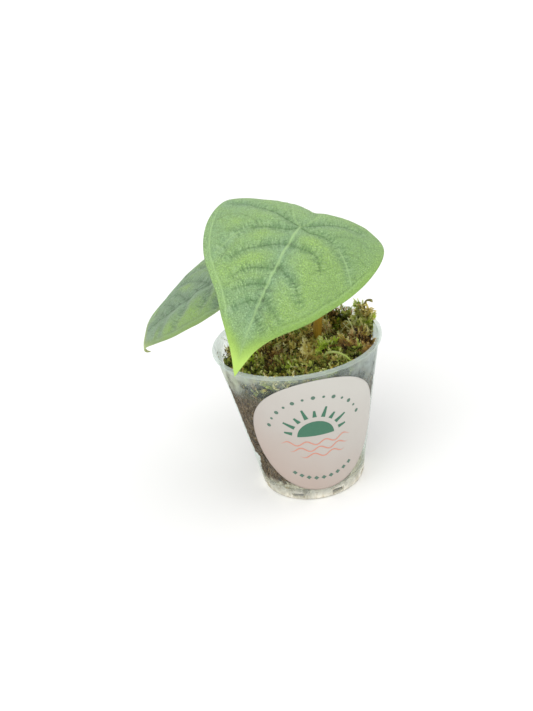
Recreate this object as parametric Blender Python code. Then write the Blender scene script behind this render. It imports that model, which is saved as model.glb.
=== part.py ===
"""A young alocasia with two leaves, growing from moss in a small clear nursery pot.

The model is in metres with +Z up. Its origin is the middle of the pot's foot, on the surface that it
stands on, and the label faces -Y. The values below are in millimetres and degrees.
"""

import math
import random

import bmesh
import bpy
import numpy as np
from mathutils import Vector

MM = 0.001
GAP = 0.3  # left between neighbouring pieces
SEGMENTS = 48  # round the pot

# Pot: a turned cone of clear plastic with a flat lip, a hollow foot and a small foot in its middle
POT_HEIGHT = 56.0
LIP_RADIUS = 30.0
LIP_THICKNESS = 1.2
WALL_TOP_RADIUS = 29.0
WALL_FOOT_RADIUS = 18.7
WALL_THICKNESS = 0.8
WALL_TOP = POT_HEIGHT - LIP_THICKNESS
FOOT_EDGE = 0.5
FLOOR_UNDERSIDE = 3.2
MIDDLE_FOOT_RADIUS = 6.8
MIDDLE_FOOT_SLOPE = 1.3
SLOT_COUNT = 8
SLOT_SIZE = (6.0, 4.6, 2.1)  # depth through the foot, width and height
SLOT_BOTTOM = 0.9
DRAIN_COUNT = 8
DRAIN_RADIUS = 1.5
DRAIN_CIRCLE = 13.5

# Round sticker on the wall: a flat disc bent round the cone
LABEL_RADIUS = 24.4
LABEL_THICKNESS = 0.3
LABEL_HEIGHT = 29.0  # of its middle
LABEL_TURN = 7.0  # of its middle, from -Y towards +X
LABEL_RINGS = 6
LABEL_SPOKES = 36

# Potting soil, and the moss on top of it
SOIL_EDGE_HEIGHT = 45.5
SOIL_CROWN = 2.2
MOSS_EDGE_HEIGHT = 51.0
MOSS_MIDDLE_HEIGHT = 54.5
MOSS_FRONT_RISE = 1.6  # the cushion is higher at the front right than at the left
MOSS_RINGS = 9
MOSS_UNDER_RINGS = 3
MOSS_SPOKES = 40
MOSS_LUMPS = 70
MOSS_LUMP_RADIUS = (1.8, 3.4)
MOSS_LUMP_HEIGHT = (-1.8, 1.8)
SPRIG_COUNT = 48
SPRIG_LENGTH = (4.2, 6.4)
SPRIG_RADIUS = 0.75
SPRIG_LEAFLETS = 4
LEAFLET_RADIUS = 0.55
LEAFLET_REACH = 2.6
SPRIG_ROOT = 1.4  # how deep a sprig is sunk in the cushion
TUFT_PLACE = (22.4, 6.4)
TUFT_SPRIGS = 5
TUFT_LENGTH = (8.5, 13.0)
TUFT_LEAFLETS = 6

# Pale runner that arches over the moss
RUNNER_ROUTE = ((8.2, -15.0, 50.5), (8.4, -15.2, 55.0), (11.5, -17.6, 56.8), (15.2, -20.4, 55.7))
RUNNER_RADIUS = 0.45

# Stem: the brown sheathed base that carries both leaf stalks
STEM_PLACE = (7.8, 3.0)
STEM_ROOT_HEIGHT = 38.0
STEM_TOP = (8.8, 3.5, 63.0)
STEM_RADII = (1.8, 1.5, 2.1)  # in the soil, above the moss and at the top
STEM_HOLE_RADIUS = 2.3
SPRIG_FREE = ((*STEM_PLACE, 5.0), (9.5, -15.5, 3.2), (13.0, -18.5, 3.2))  # place and radius

FRONT_STALK_FOOT = (9.8, 2.9, 63.8)
FRONT_STALK_RADIUS = 1.25
BACK_STALK_FOOT = (7.5, 4.3, 64.1)
BACK_STALK_RADIUS = 1.1
STALK_TAPER = 0.85

# Leaf blades. A blade is laid out flat round the point where the stalk meets it. Angles are counted
# from the drip tip, and the blade's right side is the one that its x axis points to.
BLADE_THICKNESS = 0.8
KEEL_HEIGHT = 0.6  # of the midrib, under the blade
KEEL_WIDTH = 1.6
BLADE_RINGS = 11
BLADE_SPOKES = 54
TIP_CROWDING = 0.6  # how much closer the spokes stand towards the tip
PILLOW_HEIGHT = 0.9  # of the blade between its veins, over the veins
PILLOW_WIDTH = 2.6
MARGIN_RIPPLE = 0.06
MARGIN_RIPPLES = 17
OUTLINE_ANGLES = (0, 2.5, 5, 12, 25, 45, 70, 95, 120, 142, 158, 170, 180)

FRONT_LEAF = {
    "right": (59.3, 54.6, 50.4, 43.7, 37.2, 34.2, 31.1, 28.6, 22.2, 20.0, 16.5, 12.6, 10.8),
    "left": (59.3, 54.7, 49.6, 43.5, 39.0, 34.1, 31.3, 29.9, 23.6, 20.6, 15.9, 11.2, 10.8),
    "stalk_end": (6.4, 4.1, 95.1),
    "to_tip": (-0.507, -0.817, -0.276),
    "upper_side": (0.131, -0.389, 0.912),
    "droop": (0.0116, 1.49e-4),  # pitch of the midrib: per mm and per square mm towards the tip
    "lobe_droop": 0.0435,  # pitch per mm away from the tip
    "sweep": 0.0005,  # sideways bend of the midrib
    "right_fold": (0.018, 0.0046, -1.98e-4),  # slope at the midrib, curl per mm, and its change
    "left_fold": (0.012, 0.0078, 1.92e-4),
    "twist": 0.0017,
    "dimple": 0.5,
    "tip_curl": (56.0, 0.0),  # where the drip tip starts to curl under, and how fast
}
BACK_LEAF = {
    "right": (60.0, 53.8, 49.8, 45.5, 32.8, 28.9, 28.2, 25.6, 21.6, 19.6, 16.5, 12.4, 10.5),
    "left": (60.0, 53.9, 49.8, 43.6, 36.0, 28.7, 25.0, 23.0, 20.8, 19.4, 16.5, 12.4, 10.5),
    "stalk_end": (-19.3, 11.6, 81.9),
    "to_tip": (-0.825, -0.056, -0.562),
    "upper_side": (-0.539, -0.221, 0.813),
    "droop": (0.0014, 2.65e-4),
    "lobe_droop": 0.035,
    "sweep": 0.0163,
    "right_fold": (-0.165, 0.0089, -1.32e-4),
    "left_fold": (0.264, 0.0132, 1.92e-4),
    "twist": 0.0017,
    "dimple": 1.2,
    "tip_curl": (52.0, 0.013),
}
DIMPLE_RADIUS = 8.0

# Sunken side veins of the flat blade: where each leaves the midrib, its middle and its end
RIGHT_VEINS = (
    ((0.0, 0.0), (15.0, -3.5), (26.5, -1.0)),
    ((0.0, 0.0), (16.5, 10.5), (20.0, 22.0)),
    ((0.0, 9.0), (10.5, 15.5), (15.5, 22.5)),
    ((0.0, 20.5), (8.0, 23.5), (12.0, 28.5)),
    ((0.0, 26.5), (5.0, 28.5), (10.5, 32.5)),
    ((0.0, 33.0), (3.5, 34.0), (7.5, 38.0)),
)
LEFT_VEINS = (
    ((0.0, 0.0), (-11.0, -6.5), (-19.5, -7.5)),
    ((0.0, 0.0), (-15.5, 4.5), (-24.0, 15.0)),
    ((0.0, 10.0), (-10.0, 10.5), (-14.0, 16.5)),
    ((0.0, 18.5), (-7.5, 23.0), (-12.0, 28.5)),
    ((0.0, 30.0), (-5.5, 34.5), (-10.0, 39.0)),
    ((0.0, 38.0), (-2.5, 39.5), (-5.5, 42.0)),
)

# Colours, with roughness and how much light passes through
PLASTIC = ((0.72, 0.79, 0.79), 0.25, 0.7)
PAPER = ((0.80, 0.74, 0.72), 0.6, 0.0)
SOIL = ((0.05, 0.035, 0.025), 0.95, 0.0)
MOSS = ((0.13, 0.14, 0.03), 0.95, 0.0)
RUNNER = ((0.40, 0.50, 0.15), 0.6, 0.0)
SHEATH = ((0.35, 0.20, 0.04), 0.5, 0.0)
STALK = ((0.35, 0.42, 0.13), 0.5, 0.0)
FRONT_BLADE = ((0.24, 0.40, 0.20), 0.55, 0.0)
BACK_BLADE = ((0.20, 0.32, 0.22), 0.55, 0.0)


def clear_scene():
    for item in list(bpy.data.objects):
        bpy.data.objects.remove(item, do_unlink=True)


def material(name, look):
    colour, roughness, transmission = look
    made = bpy.data.materials.new(name)
    made.use_nodes = True
    shader = made.node_tree.nodes["Principled BSDF"]
    shader.inputs["Base Color"].default_value = (*colour, 1.0)
    shader.inputs["Roughness"].default_value = roughness
    shader.inputs["Transmission Weight"].default_value = transmission
    shader.inputs["Metallic"].default_value = 0.0
    return made


def solid(name, points, faces, look=None):
    """An object from points in millimetres, with its faces turned outwards."""
    mesh = bpy.data.meshes.new(name)
    mesh.from_pydata([tuple(float(c) * MM for c in p) for p in points], [], faces)
    shaped = bmesh.new()
    shaped.from_mesh(mesh)
    bmesh.ops.recalc_face_normals(shaped, faces=shaped.faces)
    shaped.to_mesh(mesh)
    shaped.free()
    mesh.shade_smooth()
    made = bpy.data.objects.new(name, mesh)
    bpy.context.scene.collection.objects.link(made)
    if look:
        mesh.materials.append(material(name, look))
        mesh.set_sharp_from_angle(angle=math.radians(40))
    return made


def turned(profile, segments=SEGMENTS):
    """Points and faces of a profile of (radius, height) turned round the Z axis, from axis to axis."""
    points = [(0.0, 0.0, profile[0][1])]
    for radius, height in profile[1:-1]:
        for k in range(segments):
            turn = math.tau * k / segments
            points.append((radius * math.cos(turn), radius * math.sin(turn), height))
    points.append((0.0, 0.0, profile[-1][1]))
    last = len(points) - 1
    rows = len(profile) - 2
    faces = []
    for k in range(segments):
        after = (k + 1) % segments
        faces.append((0, 1 + after, 1 + k))
        for row in range(rows - 1):
            low = 1 + row * segments
            high = low + segments
            faces.append((low + k, low + after, high + after, high + k))
        top = 1 + (rows - 1) * segments
        faces.append((top + k, top + after, last))
    return points, faces


def apply_boolean(target, operation, other, solver="EXACT"):
    """Joins or cuts target with an object or a collection, applies it and removes what was used."""
    change = target.modifiers.new("change", "BOOLEAN")
    change.operation = operation
    change.solver = solver
    if isinstance(other, bpy.types.Collection):
        change.operand_type = "COLLECTION"
        change.collection = other
        used = list(other.objects)
    else:
        change.object = other
        used = [other]
    graph = bpy.context.evaluated_depsgraph_get()
    mesh = bpy.data.meshes.new_from_object(target.evaluated_get(graph))
    target.modifiers.clear()
    target.data = mesh
    for item in used:
        bpy.data.objects.remove(item, do_unlink=True)


def box(centre, turn, size):
    """Points and faces of a box whose first side points away from the Z axis."""
    out = Vector((math.cos(turn), math.sin(turn), 0.0))
    side = Vector((-out.y, out.x, 0.0))
    half = [s / 2 for s in size]
    corners = [
        Vector(centre) + out * half[0] * a + side * half[1] * b + Vector((0, 0, half[2] * c))
        for a in (-1, 1)
        for b in (-1, 1)
        for c in (-1, 1)
    ]
    faces = [(0, 1, 3, 2), (4, 6, 7, 5), (0, 4, 5, 1), (2, 3, 7, 6), (0, 2, 6, 4), (1, 5, 7, 3)]
    return [tuple(c) for c in corners], faces


def post(place, radius, low, high, sides=12):
    """Points and faces of an upright round post."""
    points, faces = turned([(0, low), (radius, low), (radius, high), (0, high)], sides)
    return [(x + place[0], y + place[1], z) for x, y, z in points], faces


def merged(shapes):
    """Several (points, faces) as one."""
    points = []
    faces = []
    for more_points, more_faces in shapes:
        start = len(points)
        points += more_points
        faces += [tuple(start + i for i in face) for face in more_faces]
    return points, faces


def wall_radius(height):
    """Outer radius of the pot's wall."""
    return WALL_FOOT_RADIUS + (WALL_TOP_RADIUS - WALL_FOOT_RADIUS) * height / WALL_TOP


def inner_radius(height):
    return wall_radius(height) - WALL_THICKNESS


def make_pot():
    floor_top = FLOOR_UNDERSIDE + WALL_THICKNESS
    channel = MIDDLE_FOOT_RADIUS + MIDDLE_FOOT_SLOPE
    skirt = wall_radius(0) - 1.5 * WALL_THICKNESS
    profile = [
        (0, 0),
        (MIDDLE_FOOT_RADIUS, 0),
        (channel, FLOOR_UNDERSIDE),
        (skirt, FLOOR_UNDERSIDE),
        (skirt, 0),
        (wall_radius(0) - FOOT_EDGE, 0),
        (wall_radius(1.2), 1.2),
        (WALL_TOP_RADIUS, WALL_TOP),
        (LIP_RADIUS - 0.3, WALL_TOP),
        (LIP_RADIUS, WALL_TOP + 0.3),
        (LIP_RADIUS, POT_HEIGHT - 0.3),
        (LIP_RADIUS - 0.3, POT_HEIGHT),
        (WALL_TOP_RADIUS - 0.4, POT_HEIGHT),
        (inner_radius(POT_HEIGHT - 0.6), POT_HEIGHT - 0.6),
        (inner_radius(floor_top + 0.9), floor_top + 0.9),
        (inner_radius(floor_top) - 0.8, floor_top),
        (channel + 0.7, floor_top),
        (MIDDLE_FOOT_RADIUS + 0.7, WALL_THICKNESS),
        (0, WALL_THICKNESS),
    ]
    pot = solid("pot", *turned(profile), PLASTIC)
    cutters = []
    for k in range(SLOT_COUNT):
        turn = math.tau * (k + 0.5) / SLOT_COUNT
        middle = SLOT_BOTTOM + SLOT_SIZE[2] / 2
        centre = (wall_radius(0) * math.cos(turn), wall_radius(0) * math.sin(turn), middle)
        cutters.append(box(centre, turn, SLOT_SIZE))
    for k in range(DRAIN_COUNT):
        turn = math.tau * k / DRAIN_COUNT
        place = (DRAIN_CIRCLE * math.cos(turn), DRAIN_CIRCLE * math.sin(turn))
        cutters.append(post(place, DRAIN_RADIUS, FLOOR_UNDERSIDE - 1, floor_top + 1))
    apply_boolean(pot, "DIFFERENCE", solid("slots", *merged(cutters)))
    pot.data.shade_smooth()
    pot.data.set_sharp_from_angle(angle=math.radians(40))


def make_label():
    """A disc bent round the cone of the wall: distances along the wall stay true."""
    slope = math.atan((WALL_TOP_RADIUS - WALL_FOOT_RADIUS) / WALL_TOP)
    apex = -WALL_FOOT_RADIUS / math.tan(slope)
    reach = (LABEL_HEIGHT - apex) / math.cos(slope)

    def bent(across, up, proud):
        along = math.hypot(across, reach + up)
        turn = math.radians(LABEL_TURN) + math.atan2(across, reach + up) / math.sin(slope)
        radius = along * math.sin(slope) + proud * math.cos(slope)
        height = apex + along * math.cos(slope) - proud * math.sin(slope)
        return radius * math.sin(turn), -radius * math.cos(turn), height

    points = []
    for proud in (GAP, GAP + LABEL_THICKNESS):
        points.append(bent(0, 0, proud))
        for ring in range(1, LABEL_RINGS + 1):
            radius = LABEL_RADIUS * ring / LABEL_RINGS
            for k in range(LABEL_SPOKES):
                turn = math.tau * k / LABEL_SPOKES
                points.append(bent(radius * math.sin(turn), radius * math.cos(turn), proud))
    solid("label", points, sheet_faces(LABEL_RINGS, LABEL_RINGS, LABEL_SPOKES), PAPER)


def sheet_faces(lower_rings, upper_rings, spokes):
    """Faces of a round sheet with two sides: for each side a middle point, then its rings."""
    faces = []
    rims = []
    start = 0
    for rings in (lower_rings, upper_rings):
        for k in range(spokes):
            after = (k + 1) % spokes
            faces.append((start, start + 1 + k, start + 1 + after))
            for ring in range(rings - 1):
                low = start + 1 + ring * spokes
                high = low + spokes
                faces.append((low + k, high + k, high + after))
                faces.append((low + k, high + after, low + after))
        rims.append(start + 1 + (rings - 1) * spokes)
        start += 1 + rings * spokes
    for k in range(spokes):
        after = (k + 1) % spokes
        faces.append((rims[0] + k, rims[0] + after, rims[1] + after, rims[1] + k))
    return faces


def soil_height(radius):
    """The soil's crowned surface under the moss."""
    return SOIL_EDGE_HEIGHT + SOIL_CROWN * (1 - (radius / inner_radius(SOIL_EDGE_HEIGHT)) ** 2)


def make_soil():
    floor_top = FLOOR_UNDERSIDE + WALL_THICKNESS + GAP
    under_edge = inner_radius(SOIL_EDGE_HEIGHT) - GAP
    channel = MIDDLE_FOOT_RADIUS + MIDDLE_FOOT_SLOPE
    profile = [
        (0, WALL_THICKNESS + GAP),
        (MIDDLE_FOOT_RADIUS + 0.3, WALL_THICKNESS + GAP),
        (channel + 0.3, floor_top),
        (inner_radius(floor_top) - 1.2, floor_top),
        (inner_radius(floor_top + 1) - GAP, floor_top + 1),
        (under_edge, SOIL_EDGE_HEIGHT),
        (under_edge * 2 / 3, soil_height(under_edge * 2 / 3)),
        (under_edge / 3, soil_height(under_edge / 3)),
        (0, soil_height(0)),
    ]
    soil = solid("soil", *turned(profile), SOIL)
    hole = post(STEM_PLACE, STEM_HOLE_RADIUS, STEM_ROOT_HEIGHT - GAP, MOSS_MIDDLE_HEIGHT)
    apply_boolean(soil, "DIFFERENCE", solid("stem hole", *hole))


def moss_height(x, y, lumps):
    """The cushion's surface: a low dome, higher at the front right, with round lumps and hollows."""
    out = min(1.0, math.hypot(x, y) / inner_radius(MOSS_EDGE_HEIGHT))
    height = MOSS_EDGE_HEIGHT + (MOSS_MIDDLE_HEIGHT - MOSS_EDGE_HEIGHT) * (1 - out**3)
    height += MOSS_FRONT_RISE * (x - 0.6 * y) / inner_radius(MOSS_EDGE_HEIGHT)
    for place_x, place_y, radius, rise in lumps:
        height += rise * math.exp(-((x - place_x) ** 2 + (y - place_y) ** 2) / radius**2)
    return height


def disc_places(count, radius, draw):
    """Places spread evenly over a disc, each a little out of line."""
    golden = math.pi * (3 - math.sqrt(5))
    for k in range(count):
        out = radius * math.sqrt((k + 0.5) / count)
        turn = k * golden + draw.uniform(-0.25, 0.25)
        yield out * math.cos(turn), out * math.sin(turn)


def spike(foot, tip, radius):
    """Points and faces of a three-sided spike."""
    foot = Vector(foot)
    along = (Vector(tip) - foot).normalized()
    side = along.orthogonal().normalized()
    other = along.cross(side)
    points = [
        tuple(foot + (side * math.cos(turn) + other * math.sin(turn)) * radius)
        for turn in (0, math.tau / 3, 2 * math.tau / 3)
    ]
    return points + [tuple(tip)], [(0, 2, 1), (0, 1, 3), (1, 2, 3), (2, 0, 3)]


def sprig(root, lean, length, leaflets, draw):
    """A leaning shoot with a short spike for each leaflet, as separate closed shapes."""
    tip = root + lean * length
    shapes = [spike(root, tip, SPRIG_RADIUS)]
    turn = draw.uniform(0, math.tau)
    across = lean.orthogonal().normalized()
    other = lean.cross(across)
    for k in range(leaflets):
        turn += math.radians(137.5)
        share = 0.42 + 0.5 * k / leaflets
        outward = (across * math.cos(turn) + other * math.sin(turn)) * 0.8 + lean * 0.6
        foot = root + lean * length * share
        reach = LEAFLET_REACH * (1.2 - 0.6 * share) * draw.uniform(0.8, 1.1)
        shapes.append(spike(foot - outward * 0.15, foot + outward * reach, LEAFLET_RADIUS))
    return shapes


def make_moss():
    draw = random.Random(8)
    edge = inner_radius(MOSS_EDGE_HEIGHT - 2) - 1.5 * GAP
    lumps = [
        (x, y, draw.uniform(*MOSS_LUMP_RADIUS), draw.uniform(*MOSS_LUMP_HEIGHT))
        for x, y in disc_places(MOSS_LUMPS, edge, draw)
    ]
    under_edge = inner_radius(SOIL_EDGE_HEIGHT) - GAP
    points = []
    for upper, rings, reach in ((False, MOSS_UNDER_RINGS, under_edge), (True, MOSS_RINGS, edge)):
        points.append((0, 0, moss_height(0, 0, lumps) if upper else soil_height(0) + GAP))
        for ring in range(1, rings + 1):
            out = reach * ring / rings
            for k in range(MOSS_SPOKES):
                turn = math.tau * k / MOSS_SPOKES
                x, y = out * math.cos(turn), out * math.sin(turn)
                points.append((x, y, moss_height(x, y, lumps) if upper else soil_height(out) + GAP))
    moss = solid("moss", points, sheet_faces(MOSS_UNDER_RINGS, MOSS_RINGS, MOSS_SPOKES), MOSS)

    shapes = []
    for x, y in disc_places(SPRIG_COUNT, edge - 2.5, draw):
        if any(math.hypot(x - free_x, y - free_y) < radius for free_x, free_y, radius in SPRIG_FREE):
            continue
        length = draw.uniform(*SPRIG_LENGTH)
        turn = draw.uniform(0, math.tau)
        slant = math.radians(draw.uniform(10, 50))
        lean = Vector((math.sin(slant) * math.cos(turn), math.sin(slant) * math.sin(turn), math.cos(slant)))
        inward = Vector((-x, -y, 0)) / edge * 0.6
        root = Vector((x, y, moss_height(x, y, lumps) - SPRIG_ROOT))
        shapes += sprig(root, (lean + inward).normalized(), length, SPRIG_LEAFLETS, draw)
    for k in range(TUFT_SPRIGS):
        turn = math.tau * k / TUFT_SPRIGS
        x = TUFT_PLACE[0] + 1.3 * math.cos(turn)
        y = TUFT_PLACE[1] + 1.8 * math.sin(turn)
        lean = Vector((0.10 * math.cos(turn) + 0.08, 0.25 * math.sin(turn), 1)).normalized()
        root = Vector((x, y, moss_height(x, y, lumps) - SPRIG_ROOT))
        shapes += sprig(root, lean, draw.uniform(*TUFT_LENGTH), TUFT_LEAFLETS, draw)

    sprigs = bpy.data.collections.new("sprigs")
    bpy.context.scene.collection.children.link(sprigs)
    for number, (corners, faces) in enumerate(shapes):
        piece = solid(f"sprig piece {number}", corners, faces)
        bpy.context.scene.collection.objects.unlink(piece)
        sprigs.objects.link(piece)
    apply_boolean(moss, "UNION", sprigs, "MANIFOLD")
    bpy.data.collections.remove(sprigs)
    hole = post(STEM_PLACE, STEM_HOLE_RADIUS, SOIL_EDGE_HEIGHT - 1, POT_HEIGHT + 4)
    apply_boolean(moss, "DIFFERENCE", solid("stem hole", *hole), "MANIFOLD")
    hole = post(RUNNER_ROUTE[0], RUNNER_RADIUS + 2 * GAP, RUNNER_ROUTE[0][2] - GAP, POT_HEIGHT + 4, 6)
    apply_boolean(moss, "DIFFERENCE", solid("runner hole", *hole), "MANIFOLD")


def tube(name, route, radii, radius, look, steps=6, roundness=2):
    """A smooth round tube through the route's points, with closed ends."""
    curve = bpy.data.curves.new(name, "CURVE")
    curve.dimensions = "3D"
    curve.bevel_depth = radius * MM
    curve.bevel_resolution = roundness
    curve.resolution_u = steps
    curve.use_fill_caps = True
    line = curve.splines.new("BEZIER")
    line.bezier_points.add(len(route) - 1)
    for point, place, share in zip(line.bezier_points, route, radii):
        point.co = Vector(place) * MM
        point.radius = share
        point.handle_left_type = "AUTO"
        point.handle_right_type = "AUTO"
    made = bpy.data.objects.new(name, curve)
    bpy.context.scene.collection.objects.link(made)
    curve.materials.append(material(name, look))
    return made


def make_stem():
    x, y = STEM_PLACE
    route = [(x, y, STEM_ROOT_HEIGHT), (x, y, MOSS_MIDDLE_HEIGHT), STEM_TOP]
    shares = [radius / max(STEM_RADII) for radius in STEM_RADII]
    tube("stem", route, shares, max(STEM_RADII), SHEATH)


def make_stalk(name, foot, leaf, radius):
    """A leaf stalk from the top of the stem to the underside of its blade, which it meets squarely."""
    facing = Vector(leaf["upper_side"]).normalized()
    under = (BLADE_THICKNESS + PILLOW_HEIGHT) / 2 + KEEL_HEIGHT + GAP
    end = Vector(leaf["stalk_end"]) - facing * under
    reach = (end - Vector(foot)).length
    route = [foot, tuple(end)]
    stalk = tube(name, route, (1.0, STALK_TAPER), radius, STALK, steps=12)
    first, last = stalk.data.splines[0].bezier_points
    for point in (first, last):
        point.handle_left_type = "FREE"
        point.handle_right_type = "FREE"
    away = (end - Vector(foot)).normalized()
    first.handle_right = first.co + (Vector((0, 0, 1)) * 0.6 + away * 0.4) * reach * 0.35 * MM
    first.handle_left = first.co * 2 - first.handle_right
    last.handle_left = last.co - facing * reach * 0.3 * MM
    last.handle_right = last.co * 2 - last.handle_left


def through(knots, values, at):
    """A smooth curve through the knots that never overshoots them."""
    step = np.diff(knots)
    slope = np.diff(values) / step
    tangent = np.zeros(len(knots))
    before, after = 2 * step[1:] + step[:-1], step[1:] + 2 * step[:-1]
    same = slope[:-1] * slope[1:] > 0
    mean = (before + after)[same] / (before[same] / slope[:-1][same] + after[same] / slope[1:][same])
    tangent[1:-1][same] = mean
    tangent[0], tangent[-1] = slope[0], slope[-1]
    k = np.clip(np.searchsorted(knots, at) - 1, 0, len(step) - 1)
    t = (at - knots[k]) / step[k]
    start = values[k] * (1 + 2 * t) * (1 - t) ** 2 + step[k] * tangent[k] * t * (1 - t) ** 2
    return start + values[k + 1] * t**2 * (3 - 2 * t) + step[k] * tangent[k + 1] * t**2 * (t - 1)


def blade_radius(leaf, angle):
    """How far the margin lies from the stalk at an angle from the tip, positive on the right side."""
    knots = np.radians(OUTLINE_ANGLES)
    sides = [through(knots, np.log(leaf[side]), np.abs(angle)) for side in ("left", "right")]
    return np.exp(np.where(angle >= 0, sides[1], sides[0]))


def vein_distance(x, y):
    """Distance in the flat blade from each point to the nearest side vein."""
    t = np.linspace(0, 1, 13)
    nearest = np.full(x.shape, 99.0)
    for start, middle, end in RIGHT_VEINS + LEFT_VEINS:
        for weight in t:
            # The curve passes the middle point halfway along.
            bend = [2 * m - (s + e) / 2 for s, m, e in zip(start, middle, end)]
            spot = [
                s * (1 - weight) ** 2 + 2 * b * weight * (1 - weight) + e * weight**2
                for s, b, e in zip(start, bend, end)
            ]
            nearest = np.minimum(nearest, np.hypot(x - spot[0], y - spot[1]))
    return nearest


def bend_blade(leaf, x, y, lift):
    """Points of the flat blade, lifted off its middle sheet, carried to their places in the plant."""
    along = np.linspace(-45, 80, 501)
    first, second = leaf["droop"]
    curl_start, curl_rate = leaf["tip_curl"]
    pitch = np.where(along > 0, first * along + second * along**2, leaf["lobe_droop"] * along)
    pitch += curl_rate * np.clip(along - curl_start, 0, None) ** 2
    middle = (pitch[1:] + pitch[:-1]) / 2
    spacing = along[1] - along[0]
    forward = np.concatenate([[0], np.cumsum(np.cos(middle)) * spacing])
    upward = np.concatenate([[0], np.cumsum(-np.sin(middle)) * spacing])
    forward -= np.interp(0, along, forward)
    upward -= np.interp(0, along, upward)
    beta = np.interp(y, along, pitch)

    def half(fold):
        """Distance out and height of a cross-section that leaves the midrib at a slope and curls."""
        slope, curl, change = fold
        rate = curl + change * y
        rate = np.where(np.abs(rate) > 1e-6, rate, 1e-6)
        turned_by = slope - rate * np.abs(x)
        return (np.sin(slope) - np.sin(turned_by)) / rate, (np.cos(turned_by) - np.cos(slope)) / rate

    right_out, right_up = half(leaf["right_fold"])
    left_out, left_up = half(leaf["left_fold"])
    out = np.where(x >= 0, right_out, -left_out)
    rise = np.where(x >= 0, right_up, left_up)
    rise = rise + leaf["dimple"] * (1 - np.exp(-(x**2 + y**2) / DIMPLE_RADIUS**2)) + lift
    roll = leaf["twist"] * y
    side = out * np.cos(roll) - rise * np.sin(roll) + leaf["sweep"] * y**2 / 2
    rise = out * np.sin(roll) + rise * np.cos(roll)
    ahead = np.interp(y, along, forward) + rise * np.sin(beta)
    height = np.interp(y, along, upward) + rise * np.cos(beta)

    tip_axis = np.array(leaf["to_tip"]) / np.linalg.norm(leaf["to_tip"])
    up_axis = np.array(leaf["upper_side"])
    up_axis = up_axis - tip_axis * (up_axis @ tip_axis)
    up_axis /= np.linalg.norm(up_axis)
    right_axis = np.cross(tip_axis, up_axis)
    places = np.outer(side, right_axis) + np.outer(ahead, tip_axis) + np.outer(height, up_axis)
    return places + np.array(leaf["stalk_end"])


def make_leaf(name, leaf, look):
    """A heart-shaped blade with pillows between sunken veins, a keel and a drip tip."""
    share = np.linspace(-1, 1, BLADE_SPOKES, endpoint=False)
    angle = math.pi * (TIP_CROWDING * share + (1 - TIP_CROWDING) * share**3)
    part = np.arange(1, BLADE_RINGS + 1) / BLADE_RINGS
    part = 0.7 * part + 0.3 * np.sin(part * math.pi / 2)
    reach, turn = np.meshgrid(part, angle, indexing="ij")
    radius = blade_radius(leaf, turn) * reach
    x = np.concatenate([[0.0], (radius * np.sin(turn)).ravel()])
    y = np.concatenate([[0.0], (radius * np.cos(turn)).ravel()])
    edge = np.concatenate([[0.0], reach.ravel()])
    around = np.concatenate([[0.0], turn.ravel()])
    pillow = PILLOW_HEIGHT * (1 - np.exp(-((vein_distance(x, y) / PILLOW_WIDTH) ** 2)))
    inside = 1 - edge**6
    surface = (pillow - PILLOW_HEIGHT / 2) * inside
    surface += MARGIN_RIPPLE * np.sin(MARGIN_RIPPLES * around) * edge**4
    keel = KEEL_HEIGHT * np.exp(-((x / KEEL_WIDTH) ** 2)) * (y > -2) * inside
    upper = bend_blade(leaf, x, y, surface + BLADE_THICKNESS / 2)
    lower = bend_blade(leaf, x, y, surface - BLADE_THICKNESS / 2 - keel)
    points = np.concatenate([lower, upper])
    solid(name, points, sheet_faces(BLADE_RINGS, BLADE_RINGS, BLADE_SPOKES), look)


def main():
    clear_scene()
    make_pot()
    make_label()
    make_soil()
    make_moss()
    tube("moss_runner", RUNNER_ROUTE, (1.0, 1.0, 0.9, 0.5), RUNNER_RADIUS, RUNNER, steps=4, roundness=1)
    make_stem()
    make_stalk("stalk_front", FRONT_STALK_FOOT, FRONT_LEAF, FRONT_STALK_RADIUS)
    make_stalk("stalk_back", BACK_STALK_FOOT, BACK_LEAF, BACK_STALK_RADIUS)
    make_leaf("leaf_front", FRONT_LEAF, FRONT_BLADE)
    make_leaf("leaf_back", BACK_LEAF, BACK_BLADE)


main()
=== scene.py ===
import math
import random

import bmesh
import bpy
import numpy as np
from mathutils import Matrix, Vector
from mathutils.kdtree import KDTree


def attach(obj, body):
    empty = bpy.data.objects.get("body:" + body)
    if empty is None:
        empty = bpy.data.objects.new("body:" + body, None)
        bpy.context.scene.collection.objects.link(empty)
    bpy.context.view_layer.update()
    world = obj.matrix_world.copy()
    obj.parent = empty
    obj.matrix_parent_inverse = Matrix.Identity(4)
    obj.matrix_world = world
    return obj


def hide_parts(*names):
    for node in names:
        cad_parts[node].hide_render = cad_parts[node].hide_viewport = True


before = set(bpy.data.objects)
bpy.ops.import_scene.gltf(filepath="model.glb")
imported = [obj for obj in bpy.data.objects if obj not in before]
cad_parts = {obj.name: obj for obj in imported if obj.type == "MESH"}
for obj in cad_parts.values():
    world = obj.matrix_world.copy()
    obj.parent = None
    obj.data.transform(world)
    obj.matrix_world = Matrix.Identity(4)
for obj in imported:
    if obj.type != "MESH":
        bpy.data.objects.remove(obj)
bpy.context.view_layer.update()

# Lengths are in millimetres and heights are above the surface that the pot stands on
MM = 0.001
GAP = 0.3

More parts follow.
